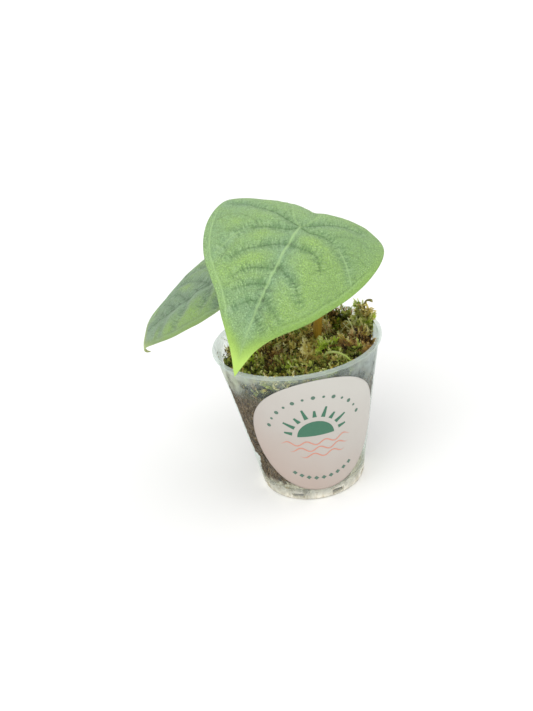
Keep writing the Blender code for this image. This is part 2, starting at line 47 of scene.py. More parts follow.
# The pot, as in the CAD part
POT_HEIGHT = 56.0
LIP_RADIUS = 30.0
LIP_THICKNESS = 1.2
WALL_TOP_RADIUS = 29.0
WALL_FOOT_RADIUS = 18.7
WALL_THICKNESS = 0.8
WALL_SEEN = 0.28
WALL_TOP = POT_HEIGHT - LIP_THICKNESS
FLOOR_UNDERSIDE = 3.2
MIDDLE_FOOT_RADIUS = 6.8
MIDDLE_FOOT_SLOPE = 1.3
SLOT_COUNT = 8
SLOT_SIZE = (6.0, 4.6, 2.1)
SLOT_BOTTOM = 0.9
DRAIN_COUNT = 8
DRAIN_RADIUS = 1.5
DRAIN_CIRCLE = 13.5
POT_SEGMENTS = 144

# The sticker
LABEL_RADIUS = 24.6
LABEL_HEIGHT = 29.0
LABEL_TURN = 7.0
LABEL_PROUD = (0.08, 0.26)
INK_PROUD = 0.29

# The fill
SOIL_EDGE_HEIGHT = 45.5
SOIL_CROWN = 2.2
MOSS_EDGE_HEIGHT = 51.0
MOSS_MIDDLE_HEIGHT = 54.5
STEM_PLACE = (7.8, 3.0)
STEM_ROOT_HEIGHT = 38.0
STEM_TOP = (8.8, 3.5, 63.0)
STEM_LEAN = (0.12, 0.06)
STEM_CLEARANCE = 2.15
RUNNER_RADIUS = 0.42
RUNNER_ROUTE = (
    (7.9, -15.2, 51.8), (8.1, -15.8, 55.4), (11.0, -17.2, 56.9), (14.6, -20.0, 56.3), (16.6, -22.2, 54.6),
)
CURL_RADIUS = 0.34
CURL_ROUTE = (
    (25.0, 6.4, 54.0), (25.3, 5.4, 60.0), (25.8, 5.0, 63.0), (26.6, 5.0, 64.0), (27.9, 5.0, 63.8),
    (28.5, 5.0, 63.0),
)
# Bits of moss on the inner wall by direction and height, and on the lip by direction, radius and length
BITS_ON_WALL = (
    (183, 53.6), (188, 52.2), (191, 51.4), (193, 50.5), (197, 49.6), (176, 54.4), (186, 51.0), (201, 52.8),
)
BITS_ON_LIP = (
    (222, 29.2, 2.0), (251, 29.0, 2.6), (246, 29.3, 1.6), (236, 29.2, 1.2), (263, 28.6, 2.4),
    (305, 28.9, 1.8),
)
GRAINS = 1300
# How many shoots grow on the cushion, along the rim at the right, the back and the left, and elsewhere
CUSHION_SHOOTS = 2000
RIGHT_SHOOTS, BACK_SHOOTS, LEFT_SHOOTS = 70, 90, 34
BRIGHT_SHOOTS = 24
ARCH_SHOOTS = 5
WALL_SHOOTS = 260
SHAPES_PER_KIND = 8
RIPPLE_WAVES = 5

# The leaves, as in the CAD part
FRONT_STALK_FOOT = (9.8, 2.9, 63.8)
BACK_STALK_FOOT = (7.5, 4.3, 64.1)
STALK_SUNK = 2.2
STALK_SHORT = 0.5
# Relief of a blade: how wide a form is and how far it stands up or lies down
BLADE_THICKNESS = 0.42
BLADE_LIFT = 0.2
LEAST_THICKNESS = 0.1
HOLLOW_WIDTH, HOLLOW_DEPTH = 0.7, 0.26
GROOVE_WIDTH = 0.30
MIDRIB_RISE, BESIDE_MIDRIB_DEPTH = 0.24, 0.12
RAISED_VEIN_RISE = 0.13
SMALL_RIB_WIDTH, SMALL_RIB_RISE = 0.32, 0.10
KEEL_WIDTH, KEEL_DROP = 0.95, 0.75
SIDE_KEEL_WIDTH, SIDE_KEEL_DROP = 0.55, 0.34
SMALL_KEEL_WIDTH, SMALL_KEEL_DROP = 0.4, 0.14
QUILT = ((2.6, 0.09), (1.5, 0.05))
PILLOW_HEIGHT = 0.9
PILLOW_WIDTH = 2.6
MARGIN_RIPPLE = 0.06
MARGIN_RIPPLES = 17
TIP_CROWDING = 0.6
BLADE_RINGS = 84
BLADE_SPOKES = 360
OUTLINE_ANGLES = (0, 2.5, 5, 12, 25, 45, 70, 95, 120, 142, 158, 170, 180)
DIMPLE_RADIUS = 8.0
# Patches of a flat blade that are yellower, and ones that are bluer: place and reach
WARM_PATCHES = (
    (-10.6, 14.8, 4.5), (-17.4, 14.3, 3.5), (-15.3, 22.4, 4.0), (-11.1, 34.1, 5.5), (-5.2, 6.5, 3.5),
    (10.4, 20.7, 4.5), (10.3, 9.3, 3.5), (5.0, 20.0, 3.0), (12.0, 28.0, 4.0), (-6.0, 41.0, 4.0),
    (2.0, 48.0, 5.0), (21.0, 9.0, 3.0),
)
COOL_PATCHES = (
    (24.0, 13.0, 6.0), (25.0, -1.0, 6.0), (-24.0, -5.0, 6.0), (-19.0, 2.0, 5.0), (1.5, 40.0, 4.5),
    (-10.0, -4.0, 5.0), (1.0, 12.0, 4.0), (-6.0, 21.0, 3.5),
)
BACK_WARM_PATCHES = (
    (-11.4, 24.4, 2.2), (-10.4, 30.5, 2.2), (-6.1, 39.7, 2.4), (-15.0, 18.0, 2.6), (9.0, 18.0, 3.0),
    (9.5, 38.0, 2.6), (17.0, 8.0, 3.0),
)
BACK_COOL_PATCHES = (
    (-3.5, 14.0, 3.0), (-4.0, 22.0, 3.0), (-3.0, 30.0, 3.0), (14.0, 26.0, 4.0), (-18.0, 10.0, 3.0),
    (4.0, 46.0, 4.0),
)

FRONT_LEAF = {
    "right": (59.3, 53.4, 49.8, 43.7, 37.2, 34.2, 31.1, 28.6, 22.2, 20.0, 16.5, 12.6, 10.8),
    "left": (59.3, 53.4, 49.0, 43.5, 39.0, 34.1, 31.3, 29.9, 23.6, 20.6, 15.9, 11.2, 10.8),
    "stalk_end": (6.4, 4.1, 95.1),
    "to_tip": (-0.507, -0.817, -0.276),
    "upper_side": (0.131, -0.389, 0.912),
    "droop": (0.0116, 1.49e-4),
    "lobe_droop": 0.0435,
    "sweep": 0.0005,
    "right_fold": (0.018, 0.0046, -1.98e-4),
    "left_fold": (0.012, 0.0078, 1.92e-4),
    "twist": 0.0017,
    "dimple": 0.5,
    "tip_curl": (56.0, 0.0),
    "midline": ((0, 60), (0, 0)),
    "sunk": False,
    "warm_patches": WARM_PATCHES,
    "cool_patches": COOL_PATCHES,
}
BACK_LEAF = {
    "right": (60.0, 53.8, 49.8, 45.5, 32.8, 28.9, 28.2, 25.6, 21.6, 19.6, 16.5, 12.4, 10.5),
    "left": (60.0, 53.9, 49.8, 43.6, 36.0, 28.7, 25.0, 23.0, 20.8, 19.4, 16.5, 12.4, 10.5),
    "stalk_end": (-19.3, 11.6, 81.9),
    "to_tip": (-0.825, -0.056, -0.562),
    "upper_side": (-0.539, -0.221, 0.813),
    "droop": (0.0014, 2.65e-4),
    "lobe_droop": 0.035,
    "sweep": 0.0163,
    "right_fold": (-0.165, 0.0089, -1.32e-4),
    "left_fold": (0.264, 0.0132, 1.92e-4),
    "twist": 0.0017,
    "dimple": 1.2,
    "tip_curl": (52.0, 0.013),
    "midline": ((0, 8.7, 12.8, 18.7, 28.4, 40.8, 50.0, 60.0), (-2.6, -2.9, -2.8, -1.5, 0.5, 3.3, 2.2, 0.0)),
    "sunk": True,
    "warm_patches": BACK_WARM_PATCHES,
    "cool_patches": BACK_COOL_PATCHES,
}

# Side veins of the flat blade: the places they run through, and where their pale raised part begins
VEINS = (
    (((0, 0), (4.5, -1.2), (10.7, -3.1), (16.3, -3.4), (21.3, -3.2), (27.0, -0.6)), 1.0),
    (((0, 0), (2.7, 2.8), (7.4, 4.3), (11.9, 6.2), (15.7, 9.5), (18.5, 14.0), (20.7, 22.6)), 0.52),
    (((0, 9.2), (5.5, 12.2), (10.5, 15.8), (13.1, 18.2), (15.5, 22.5)), 1.0),
    (((0, 20.5), (4.6, 21.8), (8.9, 23.9), (12.4, 28.6)), 1.0),
    (((0, 26.5), (5.1, 28.3), (10.5, 32.5)), 1.0),
    (((0, 33.0), (3.5, 33.7), (7.9, 38.2)), 1.0),
    (((0, 0), (-4.6, -3.0), (-8.9, -5.7), (-13.5, -7.6), (-20.0, -7.5)), 1.0),
    (((0, 0), (-3.8, 1.4), (-8.2, 1.3), (-13.2, 2.8), (-17.6, 6.0), (-21.2, 9.9), (-24.8, 15.0)), 0.46),
    (((0, 9.8), (-4.3, 9.7), (-8.3, 9.8), (-11.4, 11.5), (-14.5, 16.5)), 1.0),
    (((0, 18.6), (-3.5, 20.8), (-8.1, 23.3), (-12.3, 29.0)), 1.0),
    (((0, 30.0), (-3.5, 33.4), (-7.1, 35.9), (-10.0, 39.3)), 1.0),
    (((0, 37.8), (-2.3, 39.7), (-5.4, 41.9)), 1.0),
)
MINOR_VEINS = (
    (((0, 0), (2.8, -2.2), (4.5, -4.6), (6.5, -9.0)), 0.0),
    (((0, 0), (-1.8, -2.2), (-3.4, -5.6), (-4.3, -9.6)), 0.0),
    (((-10.9, 1.5), (-14.5, -0.5), (-19.1, -2.4), (-25.5, -0.8)), 1.0),
    (((12.5, 6.4), (15.0, 4.6), (20.2, 4.0), (24.5, 6.5), (26.8, 11.0)), 1.0),
    (((16.3, 10.4), (20.5, 11.5), (23.5, 15.0)), 1.0),
    (((-17.2, 5.6), (-22.0, 4.5), (-26.5, 6.5)), 1.0),
)
BRANCH_SPACING = 3.3
VEIN_STEPS = 90

# Hollows in the cushion, dark because little grows there and the cushion's dark colour, partly painted shade,
# shows: place, radius and depth
MOSS_HOLES = (
    (-3.7, -8.5, 1.8, 2.6), (2.7, 5.6, 2.2, 2.6), (16.8, 10.0, 4.4, 4.2), (18.0, 15.5, 3.8, 4.2),
    (-12.0, -19.0, 1.6, 2.6), (16.5, -11.5, 1.5, 2.6), (5.0, -3.0, 1.6, 2.6), (8.3, -0.5, 2.4, 2.6),
    (8.8, -3.0, 1.8, 2.6),
)
# Mounds of the cushion at the back and under the tuft: place, radius and rise
MOSS_MOUNDS = ((20.5, 18.5, 3.6, 4.6), (14.0, 23.0, 4.2, 4.0), (24.8, 8.5, 2.2, 3.4))
# Wiry strands that stand out of the moss: places along each and its radius
MOSS_WIRES = (
    (((20.2, -2.0, 52.0), (20.3, -1.0, 55.5), (19.6, 0.4, 58.0), (18.8, 1.6, 60.2)), 0.34),
    (((20.3, -1.0, 55.0), (18.4, 0.0, 57.0), (17.0, 1.0, 58.6)), 0.26),
    (((19.9, 0.0, 57.0), (21.4, 0.8, 58.6), (22.0, 1.4, 60.0)), 0.26),
    (((24.2, 7.0, 51.0), (24.8, 7.6, 56.0), (24.5, 8.0, 62.4)), 0.26),
    (((25.5, 7.5, 52.0), (26.6, 7.6, 55.5), (27.2, 7.8, 57.5)), 0.22),
    (((23.6, 6.5, 52.0), (23.0, 7.2, 56.0), (23.2, 7.6, 60.0)), 0.20),
    (((13.2, -3.0, 54.6), (16.5, -1.0, 57.2), (19.5, 0.5, 58.8)), 0.20),
    (((11.4, 0.5, 53.5), (10.6, 3.2, 57.0), (9.8, 5.0, 60.0)), 0.16),
    (((12.4, 2.5, 53.0), (11.6, 4.5, 58.0), (12.2, 6.5, 61.5)), 0.14),
    (((4.6, -3.5, 53.5), (2.0, 0.5, 57.0), (0.8, 3.0, 59.5)), 0.15),
    (((-6.0, -16.0, 52.5), (-3.0, -19.5, 54.8), (-1.5, -21.6, 55.4)), 0.16),
    (((-22.0, 8.0, 52.0), (-24.5, 6.0, 56.0), (-26.4, 5.0, 58.0)), 0.14),
)
# The tall tuft at the right, clump by clump: place, spread, how many shoots and the kind of moss
TUFT = (
    ((23.7, 8.0, 61.6), 0.5, 9, "bright"),
    ((24.1, 8.0, 60.0), 0.6, 9, "bright"),
    ((25.2, 5.8, 61.2), 0.5, 8, "gold"),
    ((25.3, 6.2, 59.2), 0.7, 11, "gold"),
    ((24.9, 8.0, 58.2), 0.7, 10, "gold"),
    ((22.9, 7.5, 58.0), 0.8, 8, "green"),
    ((25.5, 8.0, 57.0), 0.9, 11, "gold"),
    ((24.4, 7.0, 55.4), 1.3, 26, "green"),
    ((26.6, 7.5, 55.6), 1.1, 26, "gold"),
    ((26.9, 6.4, 53.6), 1.0, 14, "bright"),
    ((26.4, 6.0, 52.6), 1.4, 26, "green"),
    ((24.6, 5.0, 52.6), 1.8, 24, "green"),
    ((22.6, 6.0, 54.2), 1.4, 14, "green"),
    ((23.0, 2.5, 51.6), 1.5, 20, "gold"),
    ((20.3, -0.5, 51.2), 1.8, 18, "brown"),
)
# How the cushion's colours lie: place, reach and the kind of moss
MOSS_ZONES = (
    (-3.0, -6.0, 8.0, "gold"),
    (3.0, -13.0, 5.0, "gold"),
    (20.5, -7.0, 5.5, "brown"),
    (15.0, 8.0, 4.0, "brown"),
    (9.5, -6.0, 3.5, "bright"),
    (14.0, -13.0, 5.0, "green"),
    (-6.0, -20.0, 6.0, "green"),
    (-14.0, -14.0, 6.0, "green"),
    (6.0, -20.0, 5.0, "green"),
    (-24.0, 4.0, 4.0, "gold"),
    (23.0, 6.0, 6.0, "gold"),
    (18.0, 16.0, 5.0, "gold"),
)
# Colours as they look on screen. Each kind of moss has five, from a shoot's root to its pale end
MOSS_COLOURS = {
    "green": ((48, 44, 18), (92, 102, 32), (144, 156, 58), (198, 208, 102), (236, 238, 164)),
    "gold": ((66, 52, 18), (136, 116, 46), (198, 178, 84), (232, 220, 132), (250, 244, 188)),
    "brown": ((44, 34, 20), (112, 82, 36), (170, 134, 68), (212, 180, 108), (236, 214, 160)),
    "bright": ((76, 80, 20), (132, 156, 32), (180, 206, 56), (212, 230, 96), (234, 242, 160)),
    "dry": ((84, 76, 34), (116, 110, 50), (146, 138, 70), (134, 128, 62), (176, 168, 104)),
    "wire": ((132, 122, 66), (166, 164, 96), (190, 192, 124), (206, 210, 150), (220, 222, 176)),
}
LEAF_GLOW = (175, 205, 80)
# A blade's colours: vein is painted shade for the sunken veins, and dark also serves as painted shade beside
# them
FRONT_COLOURS = {
    "cool": (156, 194, 156),
    "mid": (169, 208, 142),
    "warm": (181, 222, 120),
    "dark": (102, 146, 90),
    "pale": (198, 230, 174),
    "vein": (82, 120, 62),
    "margin": (157, 200, 90),
    "tip": (192, 229, 110),
    "rib": (174, 208, 142),
}
BACK_COLOURS = {
    "cool": (140, 174, 142),
    "mid": (148, 182, 136),
    "warm": (170, 212, 100),
    "dark": (86, 118, 84),
    "pale": (184, 210, 176),
    "vein": (80, 108, 70),
    "margin": (146, 180, 96),
    "tip": (168, 190, 100),
    "rib": (158, 186, 148),
}

# The studio. The camera stands where the photograph's did, and a light is a direction, spread and power
FLOOR_RADIUS = 4.0
FLOOR_DROP = 0.0002
SKY_STRENGTH = 0.90
LIGHTS = (("key", (-0.35, -0.55, 0.80), 50, 1.05), ("fill", (0.70, -0.25, 0.45), 70, 0.45))
CAMERA_PLACE = (-11.28, -314.10, 204.26)
CAMERA_ELEVATION = 26.04
CAMERA_ROLL = -8.41
CAMERA_LENS = 50.0
CAMERA_SENSOR = 36.0


def srgb(*shown):
    """A colour given as it looks on screen, from 0 to 255, as the shaders take it."""
    shares = [value / 255 for value in shown]
    return *(c / 12.92 if c <= 0.04045 else ((c + 0.055) / 1.055) ** 2.4 for c in shares), 1.0


def clamp(values):
    return np.clip(values, 0, 1)


def bell(values):
    """1 at 0, and less the further a value is from it."""
    return np.exp(-(values**2))


def unit(vector):
    return vector / np.linalg.norm(vector)


def on_circle(out, turn, height):
    return out * math.cos(turn), out * math.sin(turn), height


def full_turn(count):
    return np.arange(count) * math.tau / count


class Look:
    """A material and short ways to add nodes to it. Colours are as on screen, from 0 to 255."""

    def __init__(self, name):
        self.material = bpy.data.materials.new(name)
        self.material.use_nodes = True
        self.tree = self.material.node_tree
        self.tree.nodes.clear()

    def node(self, kind, sockets, output=0, **settings):
        """One output of a new node, whose sockets are linked or set."""
        made = self.tree.nodes.new("ShaderNode" + kind)
        for name, value in settings.items():
            setattr(made, name, value)
        for name, value in sockets.items():
            socket = made.inputs[name]
            if isinstance(value, bpy.types.NodeSocket):
                self.tree.links.new(value, socket)
            elif value is not None:
                socket.default_value = srgb(*value) if socket.type == "RGBA" else value
        return made.outputs[output]

    def attribute(self, name, output="Fac"):
        return self.node("Attribute", {}, output, attribute_name=name)

    def scaled(self, vector, scale):
        return self.node("Mapping", {"Vector": vector, "Scale": scale})

    def place(self, scale=(1, 1, 1)):
        """Object coordinates in millimetres, stretched by scale."""
        return self.scaled(self.node("TexCoord", {}, "Object"), [s / MM for s in scale])

    def warped(self, vector, scale, reach):
        """A vector moved about by noise, so that what is painted with it wanders."""
        moves = self.node("TexNoise", {"Vector": vector, "Scale": scale}, "Color")
        sockets = {0: moves, 1: (reach * 2, reach * 2, 0.0), 2: vector}
        return self.node("VectorMath", sockets, operation="MULTIPLY_ADD")

    def noise(self, where, scale, detail=3.0, roughness=0.5, distortion=0.0):
        sockets = {"Vector": where, "Scale": scale, "Detail": detail}
        return self.node("TexNoise", sockets | {"Roughness": roughness, "Distortion": distortion}, "Fac")

    def cells(self, where, scale, feature="F1"):
        return self.node("TexVoronoi", {"Vector": where, "Scale": scale}, "Distance", feature=feature)

    def maths(self, operation, first, second, clamp=False):
        return self.node("Math", {0: first, 1: second}, operation=operation, use_clamp=clamp)

    def times(self, first, second, clamp=False):
        return self.maths("MULTIPLY", first, second, clamp)

    def plus(self, total, *others, clamp=False):
        for other in others:
            total = self.maths("ADD", total, other, clamp)
        return total

    def span(self, value, low, high, to_low=0.0, to_high=1.0):
        """A value's range from low to high carried to another range, and held inside it."""
        sockets = {"Value": value, "From Min": low, "From Max": high, "To Min": to_low, "To Max": to_high}
        return self.node("MapRange", sockets, clamp=True)

    def ramp(self, value, *stops):
        """A colour by value, from stops of position, red, green and blue."""
        colour = self.node("ValToRGB", {"Fac": value}, "Color")
        elements = colour.node.color_ramp.elements
        for _ in stops[2:]:
            elements.new(0.5)
        for element, (position, *shown) in zip(elements, stops):
            element.position = position
            element.color = srgb(*shown)
        return colour

    def mix(self, share, first, second):
        return self.node("Mix", {0: share, 6: first, 7: second}, 2, data_type="RGBA")

    def cover(self, colour, top, value, low, high, share=1.0):
        """A colour with another over it, more as the value goes from low to high."""
        return self.mix(self.span(value, low, high, 0.0, share), colour, top)

    def bump(self, height, depth, strength=1.0):
        """Relief from a height between 0 and 1 that stands for depth in millimetres."""
        return self.node("Bump", {"Strength": strength, "Distance": depth * MM, "Height": height})

    def principled(self, colour, roughness, normal, gloss, sheen=None):
        sockets = {"Base Color": colour, "Roughness": roughness, "Normal": normal}
        sockets |= {"Specular IOR Level": gloss, "Sheen Weight": sheen}
        return self.node("BsdfPrincipled", sockets)

    def translucent(self, colour, normal=None):
        return self.node("BsdfTranslucent", {"Color": colour, "Normal": normal})

    def blend(self, share, first, second):
        return self.node("MixShader", {0: share, 1: first, 2: second})

    def done(self, shader):
        self.tree.links.new(shader, self.tree.nodes.new("ShaderNodeOutputMaterial").inputs["Surface"])
        return self.material

    def glowing(self, share, skin, colour, normal=None):
        """Done, with a share of the light let through."""
        return self.done(self.blend(share, skin, self.translucent(colour, normal)))


def leaf_look(name, colours, light_share):
    """The upper side of a blade, painted by the veins' attributes and by fine noise in the blade's plane."""
    look = Look(name)
    flat = look.attribute("flat", "Vector")
    comb = look.attribute("comb", "Vector")
    rib = look.attribute("rib")
    tip = look.attribute("tip")
    fine = look.noise(flat, 1.5, 4.0, 0.7)
    crumbs = look.noise(flat, 2.35, 3.0, 0.6)
    pebbles = look.cells(look.warped(flat, 1.1, 0.35), 1.4, "DISTANCE_TO_EDGE")
    combed = look.noise(look.scaled(comb, (1.5, 0.42, 1.0)), 1.0, 2.0, 0.6)
    near = look.span(look.attribute("off"), 3.4, 0.4, 0.25, 1.0)
    lines = look.span(pebbles, 0.12, 0.0)
    ticks = look.times(look.span(combed, 0.50, 0.62), near)
    sheen = look.times(look.span(combed, 0.46, 0.34), near)
    shade = look.times(look.attribute("groove_shade"), look.span(look.noise(flat, 0.8, 2.0), 0.32, 0.6, 0.35, 1.0))
    warmth = look.plus(
        look.attribute("warm"),
        look.times(look.attribute("pillow"), 0.26),
        look.times(look.noise(flat, 0.34, 3.0, 0.6), 0.60),
        look.times(look.noise(flat, 0.11, 2.0), 0.35),
    )
    stops = [(place, *colours[kind]) for place, kind in ((0.0, "cool"), (0.5, "mid"), (1.0, "warm"))]
    colour = look.ramp(look.span(warmth, 0.2, 1.15), *stops)
    for share, kind in (
        (look.span(fine, 0.45, 0.68, 0.0, 0.54), "pale"),
        (look.span(crumbs, 0.51, 0.34, 0.0, 0.52), "dark"),
        (look.times(lines, 0.34), "dark"),
        (look.times(ticks, 0.50), "dark"),
        (look.times(sheen, 0.46), "pale"),
        # Painted shade on the veins' sides and on one side of the blade
        (look.times(look.attribute("slope"), 0.27), "dark"),
        # Painted shade in the sunken veins
        (look.times(shade, 0.74, clamp=True), "vein"),
        (look.attribute("margin"), "margin"),
        (look.span(tip, 0.0, 0.5, 0.0, 0.8), "margin"),
        (tip, "tip"),
        # Pale midrib and raised veins, and the painted highlight on the fold inside the margin
        (look.times(rib, 0.7, clamp=True), "rib"),
    ):
        colour = look.mix(share, colour, colours[kind])

    depths = ((lines, -0.7), (crumbs, 0.9), (fine, 1.1), (ticks, -0.6))
    relief = look.plus(*(look.times(height, depth) for height, depth in depths))
    calm = look.maths("SUBTRACT", 1.0, look.times(look.maths("MAXIMUM", rib, tip), 0.85))
    normal = look.bump(look.times(relief, calm), 0.26)
    skin = look.principled(colour, look.span(fine, 0.2, 0.8, 0.42, 0.62), normal, 0.4, 0.12)
    return look.glowing(light_share, skin, look.mix(0.45, colour, LEAF_GLOW), normal)


def underside_look(name, base, vein):
    look = Look(name)
    flat = look.attribute("flat", "Vector")
    fine = look.noise(flat, 1.3, 4.0, 0.6)
    colour = look.cover(base, (150, 172, 128), look.noise(flat, 0.25), 0.3, 0.7, 0.5)
    colour = look.cover(colour, (112, 140, 92), fine, 0.35, 0.8, 0.3)
    colour = look.mix(look.times(look.attribute("keel"), 0.8, clamp=True), colour, vein)
    colour = look.mix(look.attribute("tip"), colour, (182, 196, 112))
    normal = look.bump(look.plus(fine, look.times(look.cells(flat, 1.3), -0.5)), 0.10, 0.7)
    skin = look.principled(colour, 0.58, normal, 0.3, 0.1)
    return look.glowing(0.18, skin, look.mix(0.4, colour, LEAF_GLOW), normal)


def stalk_look():
    """Amber at the sheath and green towards the blade, with fine lengthwise streaks."""
    look = Look("stalk_skin")
    streaks = look.noise(look.place((1, 1, 0.12)), 1.8, 4.0, 0.6)
    specks = look.noise(look.place(), 2.6, 3.0, 0.7)
    stops = ((0.0, 150, 112, 48), (0.12, 160, 150, 72), (0.45, 138, 165, 88), (1.0, 150, 185, 108))
    colour = look.ramp(look.attribute("along"), *stops)
    colour = look.cover(colour, (112, 130, 62), streaks, 0.35, 0.7, 0.45)
    colour = look.cover(colour, (118, 92, 50), specks, 0.6, 0.72, 0.5)
    normal = look.bump(streaks, 0.12, 0.6)
    skin = look.principled(colour, look.span(streaks, 0.3, 0.7, 0.36, 0.55), normal, 0.45)
    return look.glowing(0.1, skin, colour, normal)


def sheath_look():
    look = Look("stem_sheath_skin")
    streaks = look.noise(look.place((1, 1, 0.07)), 2.4, 5.0, 0.62)
    threads = look.noise(look.place((1, 1, 0.05)), 6.5, 3.0, 0.6)
    blotches = look.noise(look.place((1, 1, 0.4)), 0.35, 3.0, 0.55)
    stops = ((0.0, 122, 94, 18), (0.45, 170, 138, 32), (0.7, 190, 158, 48), (1.0, 216, 190, 92))
    colour = look.ramp(look.span(streaks, 0.25, 0.75), *stops)
    colour = look.cover(colour, (186, 132, 44), blotches, 0.42, 0.65, 0.4)
    colour = look.cover(colour, (92, 66, 26), threads, 0.58, 0.74, 0.6)
    normal = look.bump(look.plus(streaks, threads), 0.14, 0.8)
    skin = look.principled(colour, look.span(threads, 0.3, 0.7, 0.38, 0.6), normal, 0.45)
    return look.glowing(0.12, skin, (220, 150, 50), normal)


def plastic_look():
    """Clear plastic. Its milkiness comes from the haze attribute, clouded and scratched a little."""
    look = Look("clear_plastic_wall")
    uneven = look.attribute("uneven")
    foot_light = look.attribute("foot_light")
    clouds = look.noise(look.place(), 0.13, 4.0, 0.6, 0.5)
    smears = look.noise(look.place((1, 1, 0.3)), 0.5, 4.0, 0.6, 0.6)
    scratches = look.noise(look.place((0.5, 0.5, 1.6)), 1.4, 5.0, 0.75)
    clouded = look.times(look.maths("SUBTRACT", look.span(clouds, 0.32, 0.68, 0.35, 1.6), 1.0), uneven)
    haze = look.times(look.attribute("haze"), look.plus(clouded, 1.0))
    marks = look.plus(look.span(smears, 0.55, 0.8, 0.0, 0.05), look.span(scratches, 0.68, 0.76, 0.0, 0.06))
    haze = look.plus(haze, look.times(marks, uneven), clamp=True)
    colour = look.mix(clouds, (214, 230, 225), (238, 246, 243))
    # Painted light: a pale cream tint where light shows through the gap under the lip at the left
    colour = look.mix(look.attribute("gap_light_tint"), colour, (224, 226, 204))
    # Painted light at the foot: a pale warm white, also made less translucent below, so that the foot stays
    # bright over the floor's shade
    colour = look.mix(foot_light, colour, look.ramp(smears, (0.32, 216, 202, 174), (0.52, 255, 250, 236)))
    normal = look.bump(look.times(look.plus(clouds, look.times(smears, 0.4)), uneven), 0.25, 0.5)
    body = look.principled(colour, look.span(smears, 0.3, 0.7, 0.16, 0.32), normal, 0.55)
    glow = look.translucent((236, 244, 240), normal)
    body = look.blend(look.span(foot_light, 0.0, 1.0, 0.5, 0.15), body, glow)
    return look.done(look.blend(haze, look.node("BsdfTransparent", {"Color": (251, 253, 252)}), body))


def paper_look():
    look = Look("label_paper")
    flat = look.attribute("flat", "Vector")
    across, up = (look.node("SeparateXYZ", {0: flat}, axis) for axis in (0, 1))
    # Painted light and shade: the paper is paler towards the upper right and darker and pinker towards the
    # lower left
    wander = look.times(look.noise(flat, 0.06, 2.0), 14.0)
    lean = look.plus(look.times(across, 0.55), look.times(up, 0.83), wander)
    stops = ((0.0, 184, 168, 158), (0.5, 190, 184, 177), (1.0, 200, 198, 191))
    colour = look.ramp(look.span(lean, -16.0, 28.0), *stops)
    grain = look.noise(flat, 4.5, 4.0, 0.7)
    colour = look.cover(colour, (168, 156, 149), grain, 0.3, 0.7, 0.10)
    normal = look.bump(look.plus(grain, look.noise(flat, 0.7)), 0.03, 0.5)
    return look.done(look.principled(colour, look.span(grain, 0.3, 0.7, 0.5, 0.62), normal, 0.35))


def ink_look(name, colour, worn):
    look = Look(name)
    grain = look.noise(look.attribute("flat", "Vector"), 5.0, 4.0, 0.7)
    tone = look.cover(colour, worn, grain, 0.45, 0.8, 0.35)
    return look.done(look.principled(tone, 0.5, look.bump(grain, 0.02, 0.4), 0.35))


def soil_look():
    look = Look("soil_mix")
    where = look.place()
    lumps = look.noise(where, 0.42, 5.0, 0.65)
    grit = look.cells(where, 1.1)
    fibres = look.noise(look.place((0.9, 0.9, 0.6)), 1.3, 4.0, 0.7, 0.9)
    stops = ((0.0, 29, 21, 14), (0.35, 72, 56, 42), (0.65, 104, 85, 66), (1.0, 138, 118, 96))
    colour = look.ramp(look.span(lumps, 0.28, 0.72), *stops)
    colour = look.cover(colour, (170, 146, 114), fibres, 0.54, 0.66, 0.7)
    colour = look.cover(colour, (48, 36, 26), fibres, 0.46, 0.36, 0.8)
    colour = look.cover(colour, (34, 26, 18), grit, 0.25, 0.05, 0.5)
    mossy = look.times(look.attribute("mossy"), look.span(lumps, 0.35, 0.65, 0.4, 1.0))
    stops = ((0.3, 40, 38, 22), (0.5, 78, 74, 48), (0.8, 146, 140, 98))
    colour = look.mix(mossy, colour, look.ramp(fibres, *stops))
    stops = ((0.0, 134, 118, 88), (0.5, 204, 194, 168), (1.0, 238, 234, 220))
    sandy = look.ramp(look.span(look.noise(where, 0.9, 4.0, 0.65), 0.3, 0.7), *stops)
    colour = look.mix(look.attribute("sandy"), colour, sandy)
    normal = look.bump(look.plus(lumps, look.times(grit, 0.5)), 0.8, 0.9)
    return look.done(look.principled(colour, 0.9, normal, 0.25))


def grain_look():
    look = Look("soil_grain")
    stops = ((0.0, 44, 34, 22), (0.3, 96, 78, 54), (0.6, 136, 116, 84), (0.8, 180, 166, 134))
    speck = look.noise(look.place(), 2.4, 4.0, 0.7)
    colour = look.ramp(look.attribute("tint"), *stops, (1.0, 236, 232, 218))
    colour = look.cover(colour, (84, 68, 48), speck, 0.4, 0.75, 0.4)
    return look.done(look.principled(colour, 0.85, look.bump(speck, 0.2, 0.8), 0.3))


def moss_look(name):
    """Dead at a shoot's root and fresh at its tip; tint differs from shoot to shoot."""
    look = Look("moss_" + name)
    fine = look.noise(look.place(), 1.7, 4.0, 0.7)
    own = look.times(look.maths("SUBTRACT", look.attribute("tint"), 0.5), 0.8)
    mottle = look.times(look.maths("SUBTRACT", fine, 0.5), 0.5)
    value = look.plus(look.plus(look.attribute("along"), own), mottle, clamp=True)
    stops = [(place, *shown) for place, shown in zip((0.0, 0.2, 0.46, 0.76, 0.98), MOSS_COLOURS[name])]
    dry = look.noise(look.place(), 0.16, 3.0, 0.6)
    colour = look.cover(look.ramp(value, *stops), (128, 104, 54), dry, 0.5, 0.7, 0.25)
    normal = look.bump(fine, 0.15, 0.5)
    skin = look.principled(colour, look.span(fine, 0.3, 0.7, 0.5, 0.75), normal, 0.35)
    return look.glowing(0.28, skin, colour, normal)


